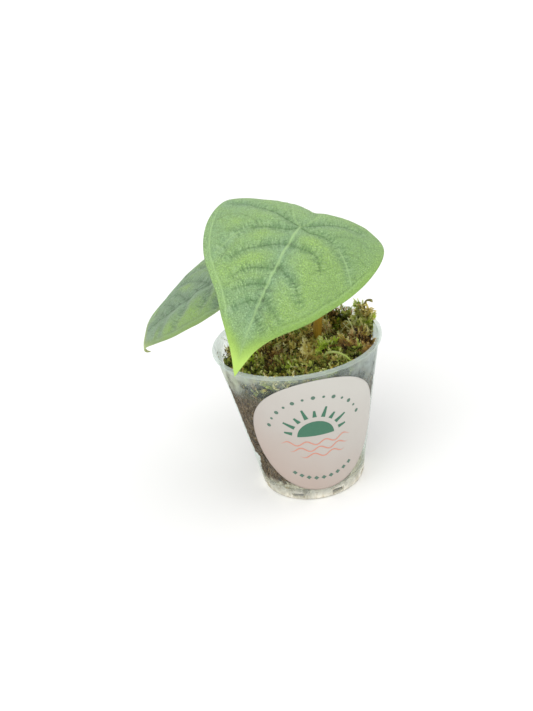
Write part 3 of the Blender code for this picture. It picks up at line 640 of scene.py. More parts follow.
def cushion_look():
    look = Look("moss_cushion_fill")
    lumps = look.noise(look.place(), 0.5, 5.0, 0.7)
    threads = look.noise(look.place((1, 0.35, 1)), 2.2, 4.0, 0.7, 1.5)
    # Very dark: the dead lower moss's own dark tone, and painted shade in the deep gaps between the shoots
    stops = ((0.0, 18, 16, 10), (0.5, 44, 40, 20), (0.8, 76, 66, 32), (1.0, 98, 84, 44))
    colour = look.ramp(look.span(lumps, 0.3, 0.72), *stops)
    colour = look.cover(colour, (92, 88, 36), threads, 0.52, 0.72, 0.6)
    return look.done(look.principled(colour, 0.92, look.bump(look.plus(lumps, threads), 0.8, 0.9), 0.2))


def runner_look():
    look = Look("runner_skin")
    fine = look.noise(look.place(), 1.6, 4.0, 0.6)
    stops = ((0.0, 140, 150, 60), (0.5, 196, 208, 128), (1.0, 158, 182, 60))
    colour = look.ramp(look.attribute("along"), *stops)
    colour = look.cover(colour, (128, 140, 58), fine, 0.4, 0.75, 0.5)
    return look.glowing(0.2, look.principled(colour, 0.45, look.bump(fine, 0.1, 0.6), 0.4), colour)


def floor_look():
    look = Look("pale_floor")
    tone = look.mix(look.noise(look.place(), 0.01, 2.0), (243, 243, 242), (247, 247, 246))
    return look.done(look.principled(tone, 0.9, None, 0.0))


def add_attributes(mesh, attributes):
    for label, values in attributes.items():
        values = np.asarray(values, np.float32)
        kind, field = ("FLOAT", "value") if values.ndim == 1 else ("FLOAT_VECTOR", "vector")
        mesh.attributes.new(label, kind, "POINT").data.foreach_set(field, values.ravel())


def mesh_piece(name, points, faces, looks, slot, nodes=(), parts=None, closed=True, **attributes):
    """A piece of the object from points in millimetres, standing for CAD nodes.

    faces is a list of integer arrays; parts gives each face's material, and attributes are per point.
    """
    mesh = bpy.data.meshes.new(name)
    points = np.asarray(points, float)
    mesh.vertices.add(len(points))
    mesh.vertices.foreach_set("co", (points * MM).astype(np.float32).ravel())
    corners = np.concatenate([np.asarray(part, np.int32).ravel() for part in faces])
    sizes = np.concatenate([np.full(len(part), np.asarray(part).shape[1], np.int32) for part in faces])
    mesh.loops.add(len(corners))
    mesh.loops.foreach_set("vertex_index", corners)
    mesh.polygons.add(len(sizes))
    mesh.polygons.foreach_set("loop_start", np.concatenate([[0], np.cumsum(sizes)[:-1]]).astype(np.int32))
    if parts is not None:
        mesh.polygons.foreach_set("material_index", np.asarray(parts, np.int32))
    mesh.update(calc_edges=True)
    add_attributes(mesh, attributes)
    if closed:
        shaped = bmesh.new()
        shaped.from_mesh(mesh)
        bmesh.ops.recalc_face_normals(shaped, faces=shaped.faces)
        shaped.to_mesh(mesh)
        shaped.free()
    mesh.shade_smooth()
    for look in looks:
        mesh.materials.append(look)
    made = bpy.data.objects.new(name, mesh)
    bpy.context.scene.collection.objects.link(made)
    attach(made, "root")
    if nodes:
        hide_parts(*nodes)
    return made


def wall_radius(height):
    return WALL_FOOT_RADIUS + (WALL_TOP_RADIUS - WALL_FOOT_RADIUS) * height / WALL_TOP


def inner_radius(height):
    """Thinner than in the CAD part, because clear plastic shows what it holds right up to its outline."""
    return wall_radius(height) - WALL_SEEN


def ring_faces(rows, sides):
    """Faces between rows of points round an axis, and to one more point at each end."""
    k = np.arange(sides)
    after = (k + 1) % sides
    start = np.arange(rows - 1)[:, None] * sides
    quads = np.stack([start + k, start + after, start + sides + after, start + sides + k], -1).reshape(-1, 4)
    last, low = (rows - 1) * sides, rows * sides
    foot = np.stack([np.full(sides, low), after, k], -1)
    head = np.stack([np.full(sides, low + 1), last + k, last + after], -1)
    return [quads, foot, head]


def lathe(profile, segments):
    """Points and faces of a profile of (radius, height) turned round the Z axis."""
    turn = full_turn(segments)
    rows = np.asarray(profile, float)
    across = [np.outer(rows[:, 0], np.cos(turn)), np.outer(rows[:, 0], np.sin(turn))]
    points = np.stack([*across, np.repeat(rows[:, 1:], segments, axis=1)], axis=-1).reshape(-1, 3)
    ends = np.array([[0, 0, rows[0, 1]], [0, 0, rows[-1, 1]]])
    return np.concatenate([points, ends]), ring_faces(len(rows), segments)


def disc_grid(rings, spokes):
    """A middle point and rings round it in a circle of radius 1, as cosines and as sines."""
    share, turn = np.arange(1, rings + 1) / rings, full_turn(spokes)
    return [np.concatenate([[0], np.outer(share, part).ravel()]) for part in (np.cos(turn), np.sin(turn))]


def smooth_profile(profile, step):
    """The same profile with points no further apart than step."""
    points = [profile[0]]
    for (r0, z0), (r1, z1) in zip(profile, profile[1:]):
        count = max(1, math.ceil(math.hypot(r1 - r0, z1 - z0) / step))
        points += [(r0 + (r1 - r0) * k / count, z0 + (z1 - z0) * k / count) for k in range(1, count + 1)]
    return points


def cut(target, cutters):
    """Cuts closed helper shapes out of a mesh."""
    change = target.modifiers.new("cut", "BOOLEAN")
    change.operation = "DIFFERENCE"
    change.solver = "EXACT"
    change.object = cutters
    graph = bpy.context.evaluated_depsgraph_get()
    mesh = bpy.data.meshes.new_from_object(target.evaluated_get(graph))
    target.modifiers.clear()
    target.data = mesh
    bpy.data.objects.remove(cutters, do_unlink=True)


def cutter_boxes():
    """The slots at the foot and the drain holes in the floor, as one helper."""
    shaped = bmesh.new()
    for k in range(SLOT_COUNT):
        turn = math.tau * (k + 0.5) / SLOT_COUNT
        middle = Vector(on_circle(wall_radius(0), turn, SLOT_BOTTOM + SLOT_SIZE[2] / 2))
        size = Matrix.Diagonal((*[s * MM for s in SLOT_SIZE], 1))
        place = Matrix.Translation(middle * MM) @ Matrix.Rotation(turn, 4, "Z") @ size
        bmesh.ops.create_cube(shaped, size=1.0, matrix=place)
    drain = {"cap_ends": True, "segments": 24, "radius1": DRAIN_RADIUS * MM, "radius2": DRAIN_RADIUS * MM}
    for k in range(DRAIN_COUNT):
        turn = math.tau * k / DRAIN_COUNT
        middle = Vector(on_circle(DRAIN_CIRCLE, turn, FLOOR_UNDERSIDE + WALL_THICKNESS / 2))
        bmesh.ops.create_cone(shaped, depth=3 * MM, matrix=Matrix.Translation(middle * MM), **drain)
    mesh = bpy.data.meshes.new("cutters")
    shaped.to_mesh(mesh)
    shaped.free()
    made = bpy.data.objects.new("cutters", mesh)
    bpy.context.scene.collection.objects.link(made)
    return made


def make_pot():
    floor_top = FLOOR_UNDERSIDE + WALL_THICKNESS
    channel = MIDDLE_FOOT_RADIUS + MIDDLE_FOOT_SLOPE
    skirt = wall_radius(0) - 1.5 * WALL_THICKNESS
    profile = [
        (MIDDLE_FOOT_RADIUS - 0.2, 0),
        (MIDDLE_FOOT_RADIUS, 0.05),
        (channel - 0.15, FLOOR_UNDERSIDE - 0.3),
        (channel + 0.2, FLOOR_UNDERSIDE),
        (skirt - 0.2, FLOOR_UNDERSIDE),
        (skirt, FLOOR_UNDERSIDE - 0.2),
        (skirt, 0.15),
        (skirt + 0.15, 0),
        (wall_radius(0) - 0.5, 0),
        (wall_radius(0.4) - 0.15, 0.4),
        (wall_radius(1.2), 1.2),
        (WALL_TOP_RADIUS - 0.12, WALL_TOP - 0.4),
        (WALL_TOP_RADIUS + 0.25, WALL_TOP),
        (LIP_RADIUS - 0.35, WALL_TOP + 0.02),
        (LIP_RADIUS - 0.08, WALL_TOP + 0.2),
        (LIP_RADIUS, WALL_TOP + 0.45),
        (LIP_RADIUS, POT_HEIGHT - 0.45),
        (LIP_RADIUS - 0.1, POT_HEIGHT - 0.15),
        (LIP_RADIUS - 0.35, POT_HEIGHT),
        (LIP_RADIUS - 0.95, POT_HEIGHT - 0.12),
        (WALL_TOP_RADIUS - 0.35, POT_HEIGHT - 0.08),
        (inner_radius(POT_HEIGHT - 0.6), POT_HEIGHT - 0.6),
        (inner_radius(floor_top + 0.9), floor_top + 0.9),
        (inner_radius(floor_top) - 0.8, floor_top),
        (channel + 0.7, floor_top),
        (MIDDLE_FOOT_RADIUS + 0.7, WALL_THICKNESS),
        (0.5, WALL_THICKNESS),
    ]
    points, faces = lathe(smooth_profile(profile, 4.0), POT_SEGMENTS)
    pot = mesh_piece("clear_pot", points, faces, [plastic_look()], "clear_plastic", ["pot"])
    cut(pot, cutter_boxes())
    mesh = pot.data
    co = np.zeros(len(mesh.vertices) * 3, np.float32)
    mesh.vertices.foreach_get("co", co)
    co = co.reshape(-1, 3) / MM
    height = co[:, 2]
    turn = np.arctan2(co[:, 1], co[:, 0])
    uneven = 1 - 0.9 * clamp((height - (WALL_TOP - 0.8)) / 0.6)
    # Painted light at the foot, which stays bright over the floor's shade
    foot_light = clamp((6.5 - height) / 3)
    # Painted light through the gap between moss and wall, below the lip only
    gap_light_tint = gap_light_share(turn, height) * clamp((WALL_TOP - height) / 0.5)
    add_attributes(mesh, {"haze": haze_share(turn, height), "uneven": uneven, "foot_light": foot_light, "gap_light_tint": gap_light_tint})
    mesh.shade_smooth()
    mesh.set_sharp_from_angle(angle=math.radians(38))


def turn_from(turn, degrees):
    """How far a direction round the pot lies from the given one, in radians."""
    return np.abs((turn - math.radians(degrees) + math.pi) % math.tau - math.pi)


def gap_light_share(turn, height):
    """Painted light: a milky wedge at the left under the lip, and a milkier inner wall behind it, where light
    shows through the gap between the moss and the wall.
    """
    reach = 0.10 + 0.36 * clamp((height - 43) / 11)
    wedge = bell(turn_from(turn, 206) / reach) * clamp((height - 43) / 3)
    return np.maximum(wedge, 0.6 * bell(turn_from(turn, 172) / 0.35) * clamp((height - 46) / 4))


def haze_share(turn, height):
    """How milky the plastic is: little at the middle and more by the lip; more at the right as a painted
    reflection, and at the foot and under the lip at the left as painted light.
    """
    upper = clamp((height - 41) / 12)
    # Painted reflection: milkier towards the right, standing for the light reflected on that side
    right = bell(turn_from(turn, 352) / 0.62)
    wall = 0.022 + 0.11 * upper + right * (0.24 + 0.66 * upper) + 0.56 * gap_light_share(turn, height)
    # Painted light: much milkier near the foot, which whitens it over the floor's shade
    wall = wall + 0.68 * clamp((5.5 - height) / 3)
    lip = clamp((height - (WALL_TOP - 0.3)) / 0.4)
    back = bell(turn_from(turn, 65) / 0.9)
    return wall * (1 - lip) + (0.39 - 0.20 * back) * lip


def label_places(across, up, proud):
    """Points of the flat sticker carried to the cone of the wall, so that lengths stay true."""
    slope = math.atan((WALL_TOP_RADIUS - WALL_FOOT_RADIUS) / WALL_TOP)
    apex = -WALL_FOOT_RADIUS / math.tan(slope)
    reach = (LABEL_HEIGHT - apex) / math.cos(slope)
    along = np.hypot(across, reach + up)
    turn = math.radians(LABEL_TURN) + np.arctan2(across, reach + up) / math.sin(slope)
    radius = along * math.sin(slope) + proud * math.cos(slope)
    height = apex + along * math.cos(slope) - proud * math.sin(slope)
    return np.stack([radius * np.sin(turn), -radius * np.cos(turn), height], -1)


def make_label():
    rings, spokes = 30, 160
    up, across = (part * LABEL_RADIUS for part in disc_grid(rings, spokes))
    points = np.concatenate([label_places(across, up, proud) for proud in LABEL_PROUD])
    flat = np.tile(np.stack([across, up, np.zeros_like(up)], -1), (2, 1))
    faces = round_sheet(rings, spokes)
    mesh_piece("round_label", points, faces, [paper_look()], "sticker_paper", ["label"], flat=flat)
    make_print()


def round_sheet(rings, spokes):
    """Faces of a closed round sheet with two equal sides, each a middle point and then its rings."""
    k = np.arange(spokes)
    after = (k + 1) % spokes
    side = 1 + rings * spokes
    faces = []
    for start, flip in ((0, True), (side, False)):
        fan = np.stack([np.full(spokes, start), start + 1 + k, start + 1 + after], -1)
        ring = start + 1 + np.arange(rings - 1)[:, None] * spokes
        quads = np.stack([ring + k, ring + spokes + k, ring + spokes + after, ring + after], -1).reshape(-1, 4)
        faces += [fan[:, ::-1] if flip else fan, quads[:, ::-1] if flip else quads]
    low = 1 + (rings - 1) * spokes
    faces.append(np.stack([low + k, low + after, side + low + after, side + low + k], -1))
    return faces


def make_print():
    """A plain generic print: a low sun with rays over waves, and rows of dots. Flat millimetres."""
    green, salmon, small = [], [], []

    def disc(store, x, y, radius, start=0.0, end=math.tau, sides=28):
        turn = np.linspace(start, end, sides)
        rounds = max(2, math.ceil(radius / 0.7))
        for k in range(rounds):
            reaches = radius * k / rounds, radius * (k + 1) / rounds
            store.append(tuple(np.stack([x + r * np.cos(turn), y + r * np.sin(turn)], -1) for r in reaches))

    def strip(store, route, width):
        route = np.asarray(route, float)
        step = np.gradient(route, axis=0)
        side = np.stack([-step[:, 1], step[:, 0]], -1) / np.linalg.norm(step, axis=1)[:, None]
        half = (np.asarray(width) / 2).reshape(-1, 1)
        store.append((route - side * half, route + side * half))

    disc(green, -1.5, 1.0, 6.4, 0, math.pi, 48)
    for k in range(9):
        turn = math.pi * (k + 0.5) / 9
        out = np.linspace(8.2, 12.6 if k % 2 else 11.0, 8)
        route = np.stack([-1.5 + out * math.cos(turn), 1.0 + out * math.sin(turn)], -1)
        strip(green, route, np.linspace(1.5, 0.7, 8))
    for k in range(13):
        turn = math.pi * (0.08 + 0.84 * k / 12)
        disc(small, -1.5 + 16.6 * math.cos(turn), 1.0 + 16.6 * math.sin(turn), 0.5 if k % 2 else 0.75)
    for row, (level, half_length) in enumerate(((-2.2, 12.5), (-5.0, 10.5), (-7.8, 8.0))):
        x = np.linspace(-half_length, half_length, 120) - 1.5 + row
        y = level + 0.85 * np.sin((x + row * 2.1) * math.tau / 6.6)
        ends = np.clip((half_length - np.abs(x + 1.5 - row)) / 2.5, 0.15, 1)
        strip(salmon, np.stack([x, y], -1), 0.5 * ends)
    for k in range(9):
        turn = math.radians(-90 + (k - 4) * 8.0)
        x, y = 18.8 * math.cos(turn), 18.8 * math.sin(turn)
        disc(small, x, y, 0.95, sides=5)

    for name, shapes, ink in (
        ("label_print_green", green, ink_look("ink_green", (62, 112, 88), (96, 138, 116))),
        ("label_print_waves", salmon, ink_look("ink_salmon", (205, 140, 122), (216, 172, 158))),
        ("label_print_dots", small, ink_look("ink_grey_green", (88, 118, 102), (126, 146, 134))),
    ):
        points, faces = [], []
        for left, right in shapes:
            start, n = len(points), len(left)
            points += [*left, *right]
            faces += [(start + k, start + n + k, start + n + k + 1) for k in range(n - 1)]
            faces += [(start + k, start + n + k + 1, start + k + 1) for k in range(n - 1)]
        flat = np.array([(x, y, 0) for x, y in points], float)
        places = label_places(flat[:, 0], flat[:, 1], INK_PROUD)
        mesh_piece(name, places, [np.array(faces)], [ink], "sticker_paper", closed=False, flat=flat)


def soil_height(radius):
    return SOIL_EDGE_HEIGHT + SOIL_CROWN * (1 - (radius / inner_radius(SOIL_EDGE_HEIGHT)) ** 2)


def ripples(x, y, z, seed, size):
    """Smooth noise between about -1 and 1 from a few sine waves."""
    draw = random.Random(seed)
    total = np.zeros_like(np.asarray(x, float))
    for octave in range(RIPPLE_WAVES):
        a, b, c = (draw.gauss(0, 1) for _ in range(3))
        norm = math.sqrt(a * a + b * b + c * c)
        rate = math.tau / size * (1 + 0.45 * octave) / norm
        total += np.sin((a * x + b * y + c * z) * rate + draw.uniform(0, math.tau)) / (1 + 0.3 * octave)
    return total / math.sqrt(RIPPLE_WAVES)


def fill_recess(turn, z):
    """How far the fill stands back from the wall, at the left under the lip and near the foot."""
    upper = 7.0 * clamp((z - 44.0) / 9.0) * bell(turn_from(turn, 205) / math.radians(24))
    lower = 2.2 * bell((z - 10.5) / 3.4) * bell(turn_from(turn, 196) / math.radians(20))
    right = 2.6 * bell((z - 13.0) / 9.5) * bell(turn_from(turn, 350) / math.radians(26))
    gap = 5.0 * clamp((z - 46) / 3) * clamp((57 - z) / 3) * bell(turn_from(turn, 356) / math.radians(7))
    return upper + lower + right + gap


def sandy_top(turn):
    """Height of the pale gravel at the bottom of the fill, which reaches further up at the right."""
    return 6.2 + 1.3 * np.sin(3 * turn + 1) + 14.0 * bell(turn_from(turn, 350) / math.radians(30))


def make_soil():
    floor_top = FLOOR_UNDERSIDE + WALL_THICKNESS + 0.15
    under_edge = inner_radius(SOIL_EDGE_HEIGHT) - 0.2
    channel = MIDDLE_FOOT_RADIUS + MIDDLE_FOOT_SLOPE
    profile = [
        (0.4, WALL_THICKNESS + GAP),
        (MIDDLE_FOOT_RADIUS + 0.3, WALL_THICKNESS + GAP),
        (channel + 0.3, floor_top),
        (inner_radius(floor_top) - 1.2, floor_top),
        (inner_radius(floor_top + 1) - 0.3, floor_top + 1),
        (under_edge, SOIL_EDGE_HEIGHT),
        (under_edge * 2 / 3, soil_height(under_edge * 2 / 3)),
        (under_edge / 3, soil_height(under_edge / 3)),
        (0.4, soil_height(0)),
    ]
    points, faces = lathe(smooth_profile(profile, 0.8), 220)
    x, y, z = points.T
    radius = np.hypot(x, y)
    turn = np.arctan2(y, x)
    side = clamp((radius - 9) / 4) * clamp((z - floor_top) / 2)
    lumps = ripples(x, y, z, 3, 5.5) * 0.5 + ripples(x, y, z, 4, 2.2) * 0.35
    inward = side * (0.02 + 0.16 * np.clip(lumps, 0, 2) + fill_recess(turn, z))
    radius = radius - inward
    points = np.stack([radius * np.cos(turn), radius * np.sin(turn), z + 0.25 * lumps * (z > 40)], -1)
    uneven = ripples(x, y, z, 5, 4.5)
    sandy = clamp((sandy_top(turn) - z + 1.6 * uneven) / 1.6)
    mossy = clamp((z - 42 + 2.5 * uneven) / 3.5)
    look = soil_look()
    mesh_piece("potting_mix", points, faces, [look], "potting_soil", ["soil"], sandy=sandy, mossy=mossy)

    draw = random.Random(21)
    grains = []
    for k in range(GRAINS):
        height = 4.8 + 40.0 * draw.random() ** 1.15
        turn = draw.uniform(0, math.tau)
        size = draw.uniform(0.25, 0.75) * (1.25 if height < 9 else 1.0)
        out = inner_radius(height) - size * 0.75 - 0.15 - float(fill_recess(np.array(turn), np.array(height)))
        low = height < sandy_top(turn) + draw.uniform(-1.5, 1.0)
        tint = draw.uniform(0.66, 1.0) if low else draw.random() ** 1.7 * 0.66
        grains.append((on_circle(out, turn, height), size, tint))
    ball = bmesh.new()
    bmesh.ops.create_icosphere(ball, subdivisions=1, radius=1.0)
    ball_points = np.array([v.co for v in ball.verts])
    ball_faces = np.array([[v.index for v in f.verts] for f in ball.faces])
    ball.free()
    points, faces, tints = [], [], []
    for place, size, tint in grains:
        stretch = np.array([draw.uniform(0.5, 1.0), draw.uniform(0.5, 1.3), draw.uniform(0.5, 1.3)]) * size
        angle = draw.uniform(0, math.tau)
        axis = Vector((draw.random(), draw.random(), draw.random() + 0.1)).normalized()
        spin = np.array(Matrix.Rotation(angle, 3, axis))
        shape = (ball_points * stretch * [[draw.uniform(0.8, 1.15)] for _ in ball_points]) @ spin.T + place
        out = np.hypot(shape[:, 0], shape[:, 1])
        limit = inner_radius(shape[:, 2]) - 0.05
        shape[:, :2] *= np.minimum(1, limit / out)[:, None]
        faces.append(ball_faces + len(ball_points) * len(points))
        points.append(shape)
        tints.append(np.full(len(shape), tint))
    points, faces, tint = map(np.concatenate, (points, faces, tints))
    mesh_piece("soil_grains", points, [faces], [grain_look()], "potting_soil", tint=tint)


def cushion_height(x, y, lumps):
    """The moss's mean surface, as in the CAD part but a little lower, because shoots stand on it."""
    out = np.minimum(1.0, np.hypot(x, y) / inner_radius(MOSS_EDGE_HEIGHT))
    height = MOSS_EDGE_HEIGHT - 1.6 + (MOSS_MIDDLE_HEIGHT - MOSS_EDGE_HEIGHT) * (1 - out**3)
    height = height + 1.9 * (x - 0.6 * y) / inner_radius(MOSS_EDGE_HEIGHT)
    for place_x, place_y, radius, rise in lumps:
        height = height + rise * np.exp(-((x - place_x) ** 2 + (y - place_y) ** 2) / radius**2)
    return np.maximum(height, SOIL_EDGE_HEIGHT + SOIL_CROWN)


def disc_places(count, radius, draw):
    golden = math.pi * (3 - math.sqrt(5))
    for k in range(count):
        out = radius * math.sqrt((k + 0.5) / count)
        turn = k * golden + draw.uniform(-0.35, 0.35)
        out = min(radius, out + draw.uniform(-0.5, 0.5))
        yield out * math.cos(turn), out * math.sin(turn)


def shoot_axis(bend, wave, rings, thick):
    """A shoot's own stalk, one unit long along +Z and arching to -Y, with its line and heading by share."""

    def axis(t):
        return np.array([wave * math.sin(t * 4.0), -bend * t * t, t * (1 - 0.3 * bend * t)])

    def forward(t):
        return unit(axis(t + 0.02) - axis(t - 0.02))

    points, faces, along = [], [], []
    for k in range(rings):
        t = k / (rings - 1)
        ahead = forward(t)
        side = unit(np.cross(ahead, [0.3, 1, 0.1]))
        other = np.cross(ahead, side)
        for corner in range(3):
            turn = corner * math.tau / 3
            out = side * math.cos(turn) + other * math.sin(turn)
            points.append(axis(t) + out * thick * (1.1 - 0.8 * t))
            along.append(t * 0.8)
    for k in range(rings - 1):
        for corner in range(3):
            a, b = k * 3 + corner, k * 3 + (corner + 1) % 3
            faces += [(a, b, b + 3), (a, b + 3, a + 3)]
    return axis, forward, points, faces, along


def frond_shape(draw):
    """A feathery shoot with pointed side branches in two rows, as points, faces and share along it."""
    bend, wave = draw.uniform(0.1, 0.8), draw.uniform(-0.16, 0.16)
    axis, forward, points, faces, along = shoot_axis(bend, wave, 7, 0.024)
    count = 15
    for k in range(count):
        t = 0.05 + 0.93 * k / count
        ahead = forward(t)
        side = unit(np.cross(ahead, [0, 1, 0]) * (1 if k % 2 else -1))
        up = np.cross(side, ahead) * (-1 if k % 2 else 1)
        angle = math.radians(68 - 34 * t + draw.uniform(-14, 14))
        way = unit(side * math.sin(angle) + ahead * math.cos(angle) + up * draw.uniform(-0.45, 0.45))
        across = unit(np.cross(way, up))
        length = 0.32 * math.sin(math.pi * (0.18 + 0.74 * t)) ** 0.6 * draw.uniform(0.55, 1.2)
        fall = draw.uniform(-0.2, 0.6)
        shade = draw.uniform(-0.28, 0.24)
        foot = axis(t)
        teeth = 3
        for m in range(teeth):
            u = m / teeth
            here = foot + way * length * u - up * fall * length * u * u
            there = foot + way * length * (u + 0.45) - up * fall * length * (u + 0.45) ** 2
            for hand in (-1, 1):
                start = len(points)
                reach = 0.120 * (1.15 - u) * draw.uniform(0.7, 1.25)
                point = (here + there) / 2 + across * hand * reach + way * 0.03 + up * draw.uniform(-0.03, 0.04)
                points += [here, there, point]
                outer = t * 0.55 + u * 0.35
                along += [t * 0.55 + u * 0.2 + shade, outer + shade, outer + 0.2 + shade]
                faces.append((start, start + 1, start + 2))
    return np.array(points), np.array(faces), clamp(np.array(along))


# Leaflets on a shoot: how many, how long, how wide, and how far they open, in degrees
LEAFLETS = {"brush": (30, 0.28, 0.080, 56), "scale": (24, 0.25, 0.130, 50), "thread": (11, 0.10, 0.034, 50)}


def shoot_shape(draw, kind):
    """A shoot with leaflets all round it, as points, faces and share along it."""
    if kind == "frond":
        return frond_shape(draw)
    (low, high), thick, rings = ((0.3, 1.1), 0.016, 8) if kind == "thread" else ((0.1, 0.55), 0.022, 6)
    bend, wave = draw.uniform(low, high), draw.uniform(-0.12, 0.12)
    axis, forward, points, faces, along = shoot_axis(bend, wave, rings, thick)
    count, reach, width, open_angle = LEAFLETS[kind]
    turn = draw.uniform(0, math.tau)
    for k in range(count):
        t = 0.10 + 0.88 * (k / count) ** 0.9
        turn += math.radians(137.5)
        ahead = forward(t)
        side = unit(np.cross(ahead, [math.cos(turn), math.sin(turn), 0.05]))
        outward = np.cross(side, ahead)
        angle = math.radians(open_angle * (1.15 - 0.55 * t) + draw.uniform(-14, 14))
        way = outward * math.sin(angle) + ahead * math.cos(angle)
        up = np.cross(way, side)
        length = reach * (1.1 - 0.55 * t) * draw.uniform(0.75, 1.15) * (0.55 + 0.45 * min(1.0, t / 0.3))
        foot = axis(t)
        start = len(points)
        curl = draw.uniform(-0.25, 0.1) * length
        right, left = (foot + way * length * 0.45 + hand * side * width * 0.5 + up * 0.012 for hand in (1, -1))
        points += [foot, right, left, foot + way * length - up * curl]
        shade = draw.uniform(-0.25, 0.22)
        along += [t * 0.7 + shade, t * 0.8 + 0.05 + shade, t * 0.8 + 0.05 + shade, t * 0.8 + 0.2 + shade]
        faces += [(start, start + 1, start + 3), (start, start + 3, start + 2)]
    return np.array(points), np.array(faces), clamp(np.array(along))


def plant_piece(name, look, shapes, plants, keep_clear=True):
    """Many shoots as one mesh. Each plant is (shape, root, lean, spin, length, width share, tint)."""
    points, faces, along, tints = [], [], [], []
    start = 0
    for number, root, lean, spin, length, girth, tint in plants:
        shape, shape_faces, shape_along = shapes[number]
        tilted = Vector(lean).normalized().to_track_quat("Z", "Y").to_matrix()
        turned = np.array(tilted @ Matrix.Rotation(spin, 3, "Z"))
        points.append((shape * [length * girth, length * girth, length]) @ turned.T + np.array(root))
        faces.append(shape_faces + start)
        along.append(shape_along)
        tints.append(np.full(len(shape), tint))
        start += len(shape)
    points, faces, along, tint = map(np.concatenate, (points, faces, along, tints))
    if keep_clear:
        clear_of_wall_and_stem(points)
    mesh_piece(name, points, [faces], [look], "moss", closed=False, along=along, tint=tint)


def clear_of_wall_and_stem(points):
    """Moves points of shoots inside the pot's wall and off the stem."""
    x, y, z = points.T
    height = np.minimum(z, POT_HEIGHT)
    limit = inner_radius(height) - 0.12 - 0.8 * fill_recess(np.arctan2(y, x), height)
    limit -= 0.5 * clamp(ripples(x, y, z, 61, 5.0))
    limit = np.where(z < POT_HEIGHT + 0.2, limit, limit + 3.0 * (z - POT_HEIGHT))
    points[:, :2] *= np.minimum(1, limit / np.maximum(np.hypot(x, y), 0.01))[:, None]
    above = points[:, 2:] - MOSS_MIDDLE_HEIGHT
    away = points[:, :2] - np.array(STEM_PLACE) - above * np.array([STEM_LEAN]) * (above > 0)
    gap = np.hypot(away[:, 0], away[:, 1])
    push = np.clip(STEM_CLEARANCE - gap, 0, None) * (z < STEM_TOP[2])
    points[:, :2] += away / np.maximum(gap, 0.01)[:, None] * push[:, None]


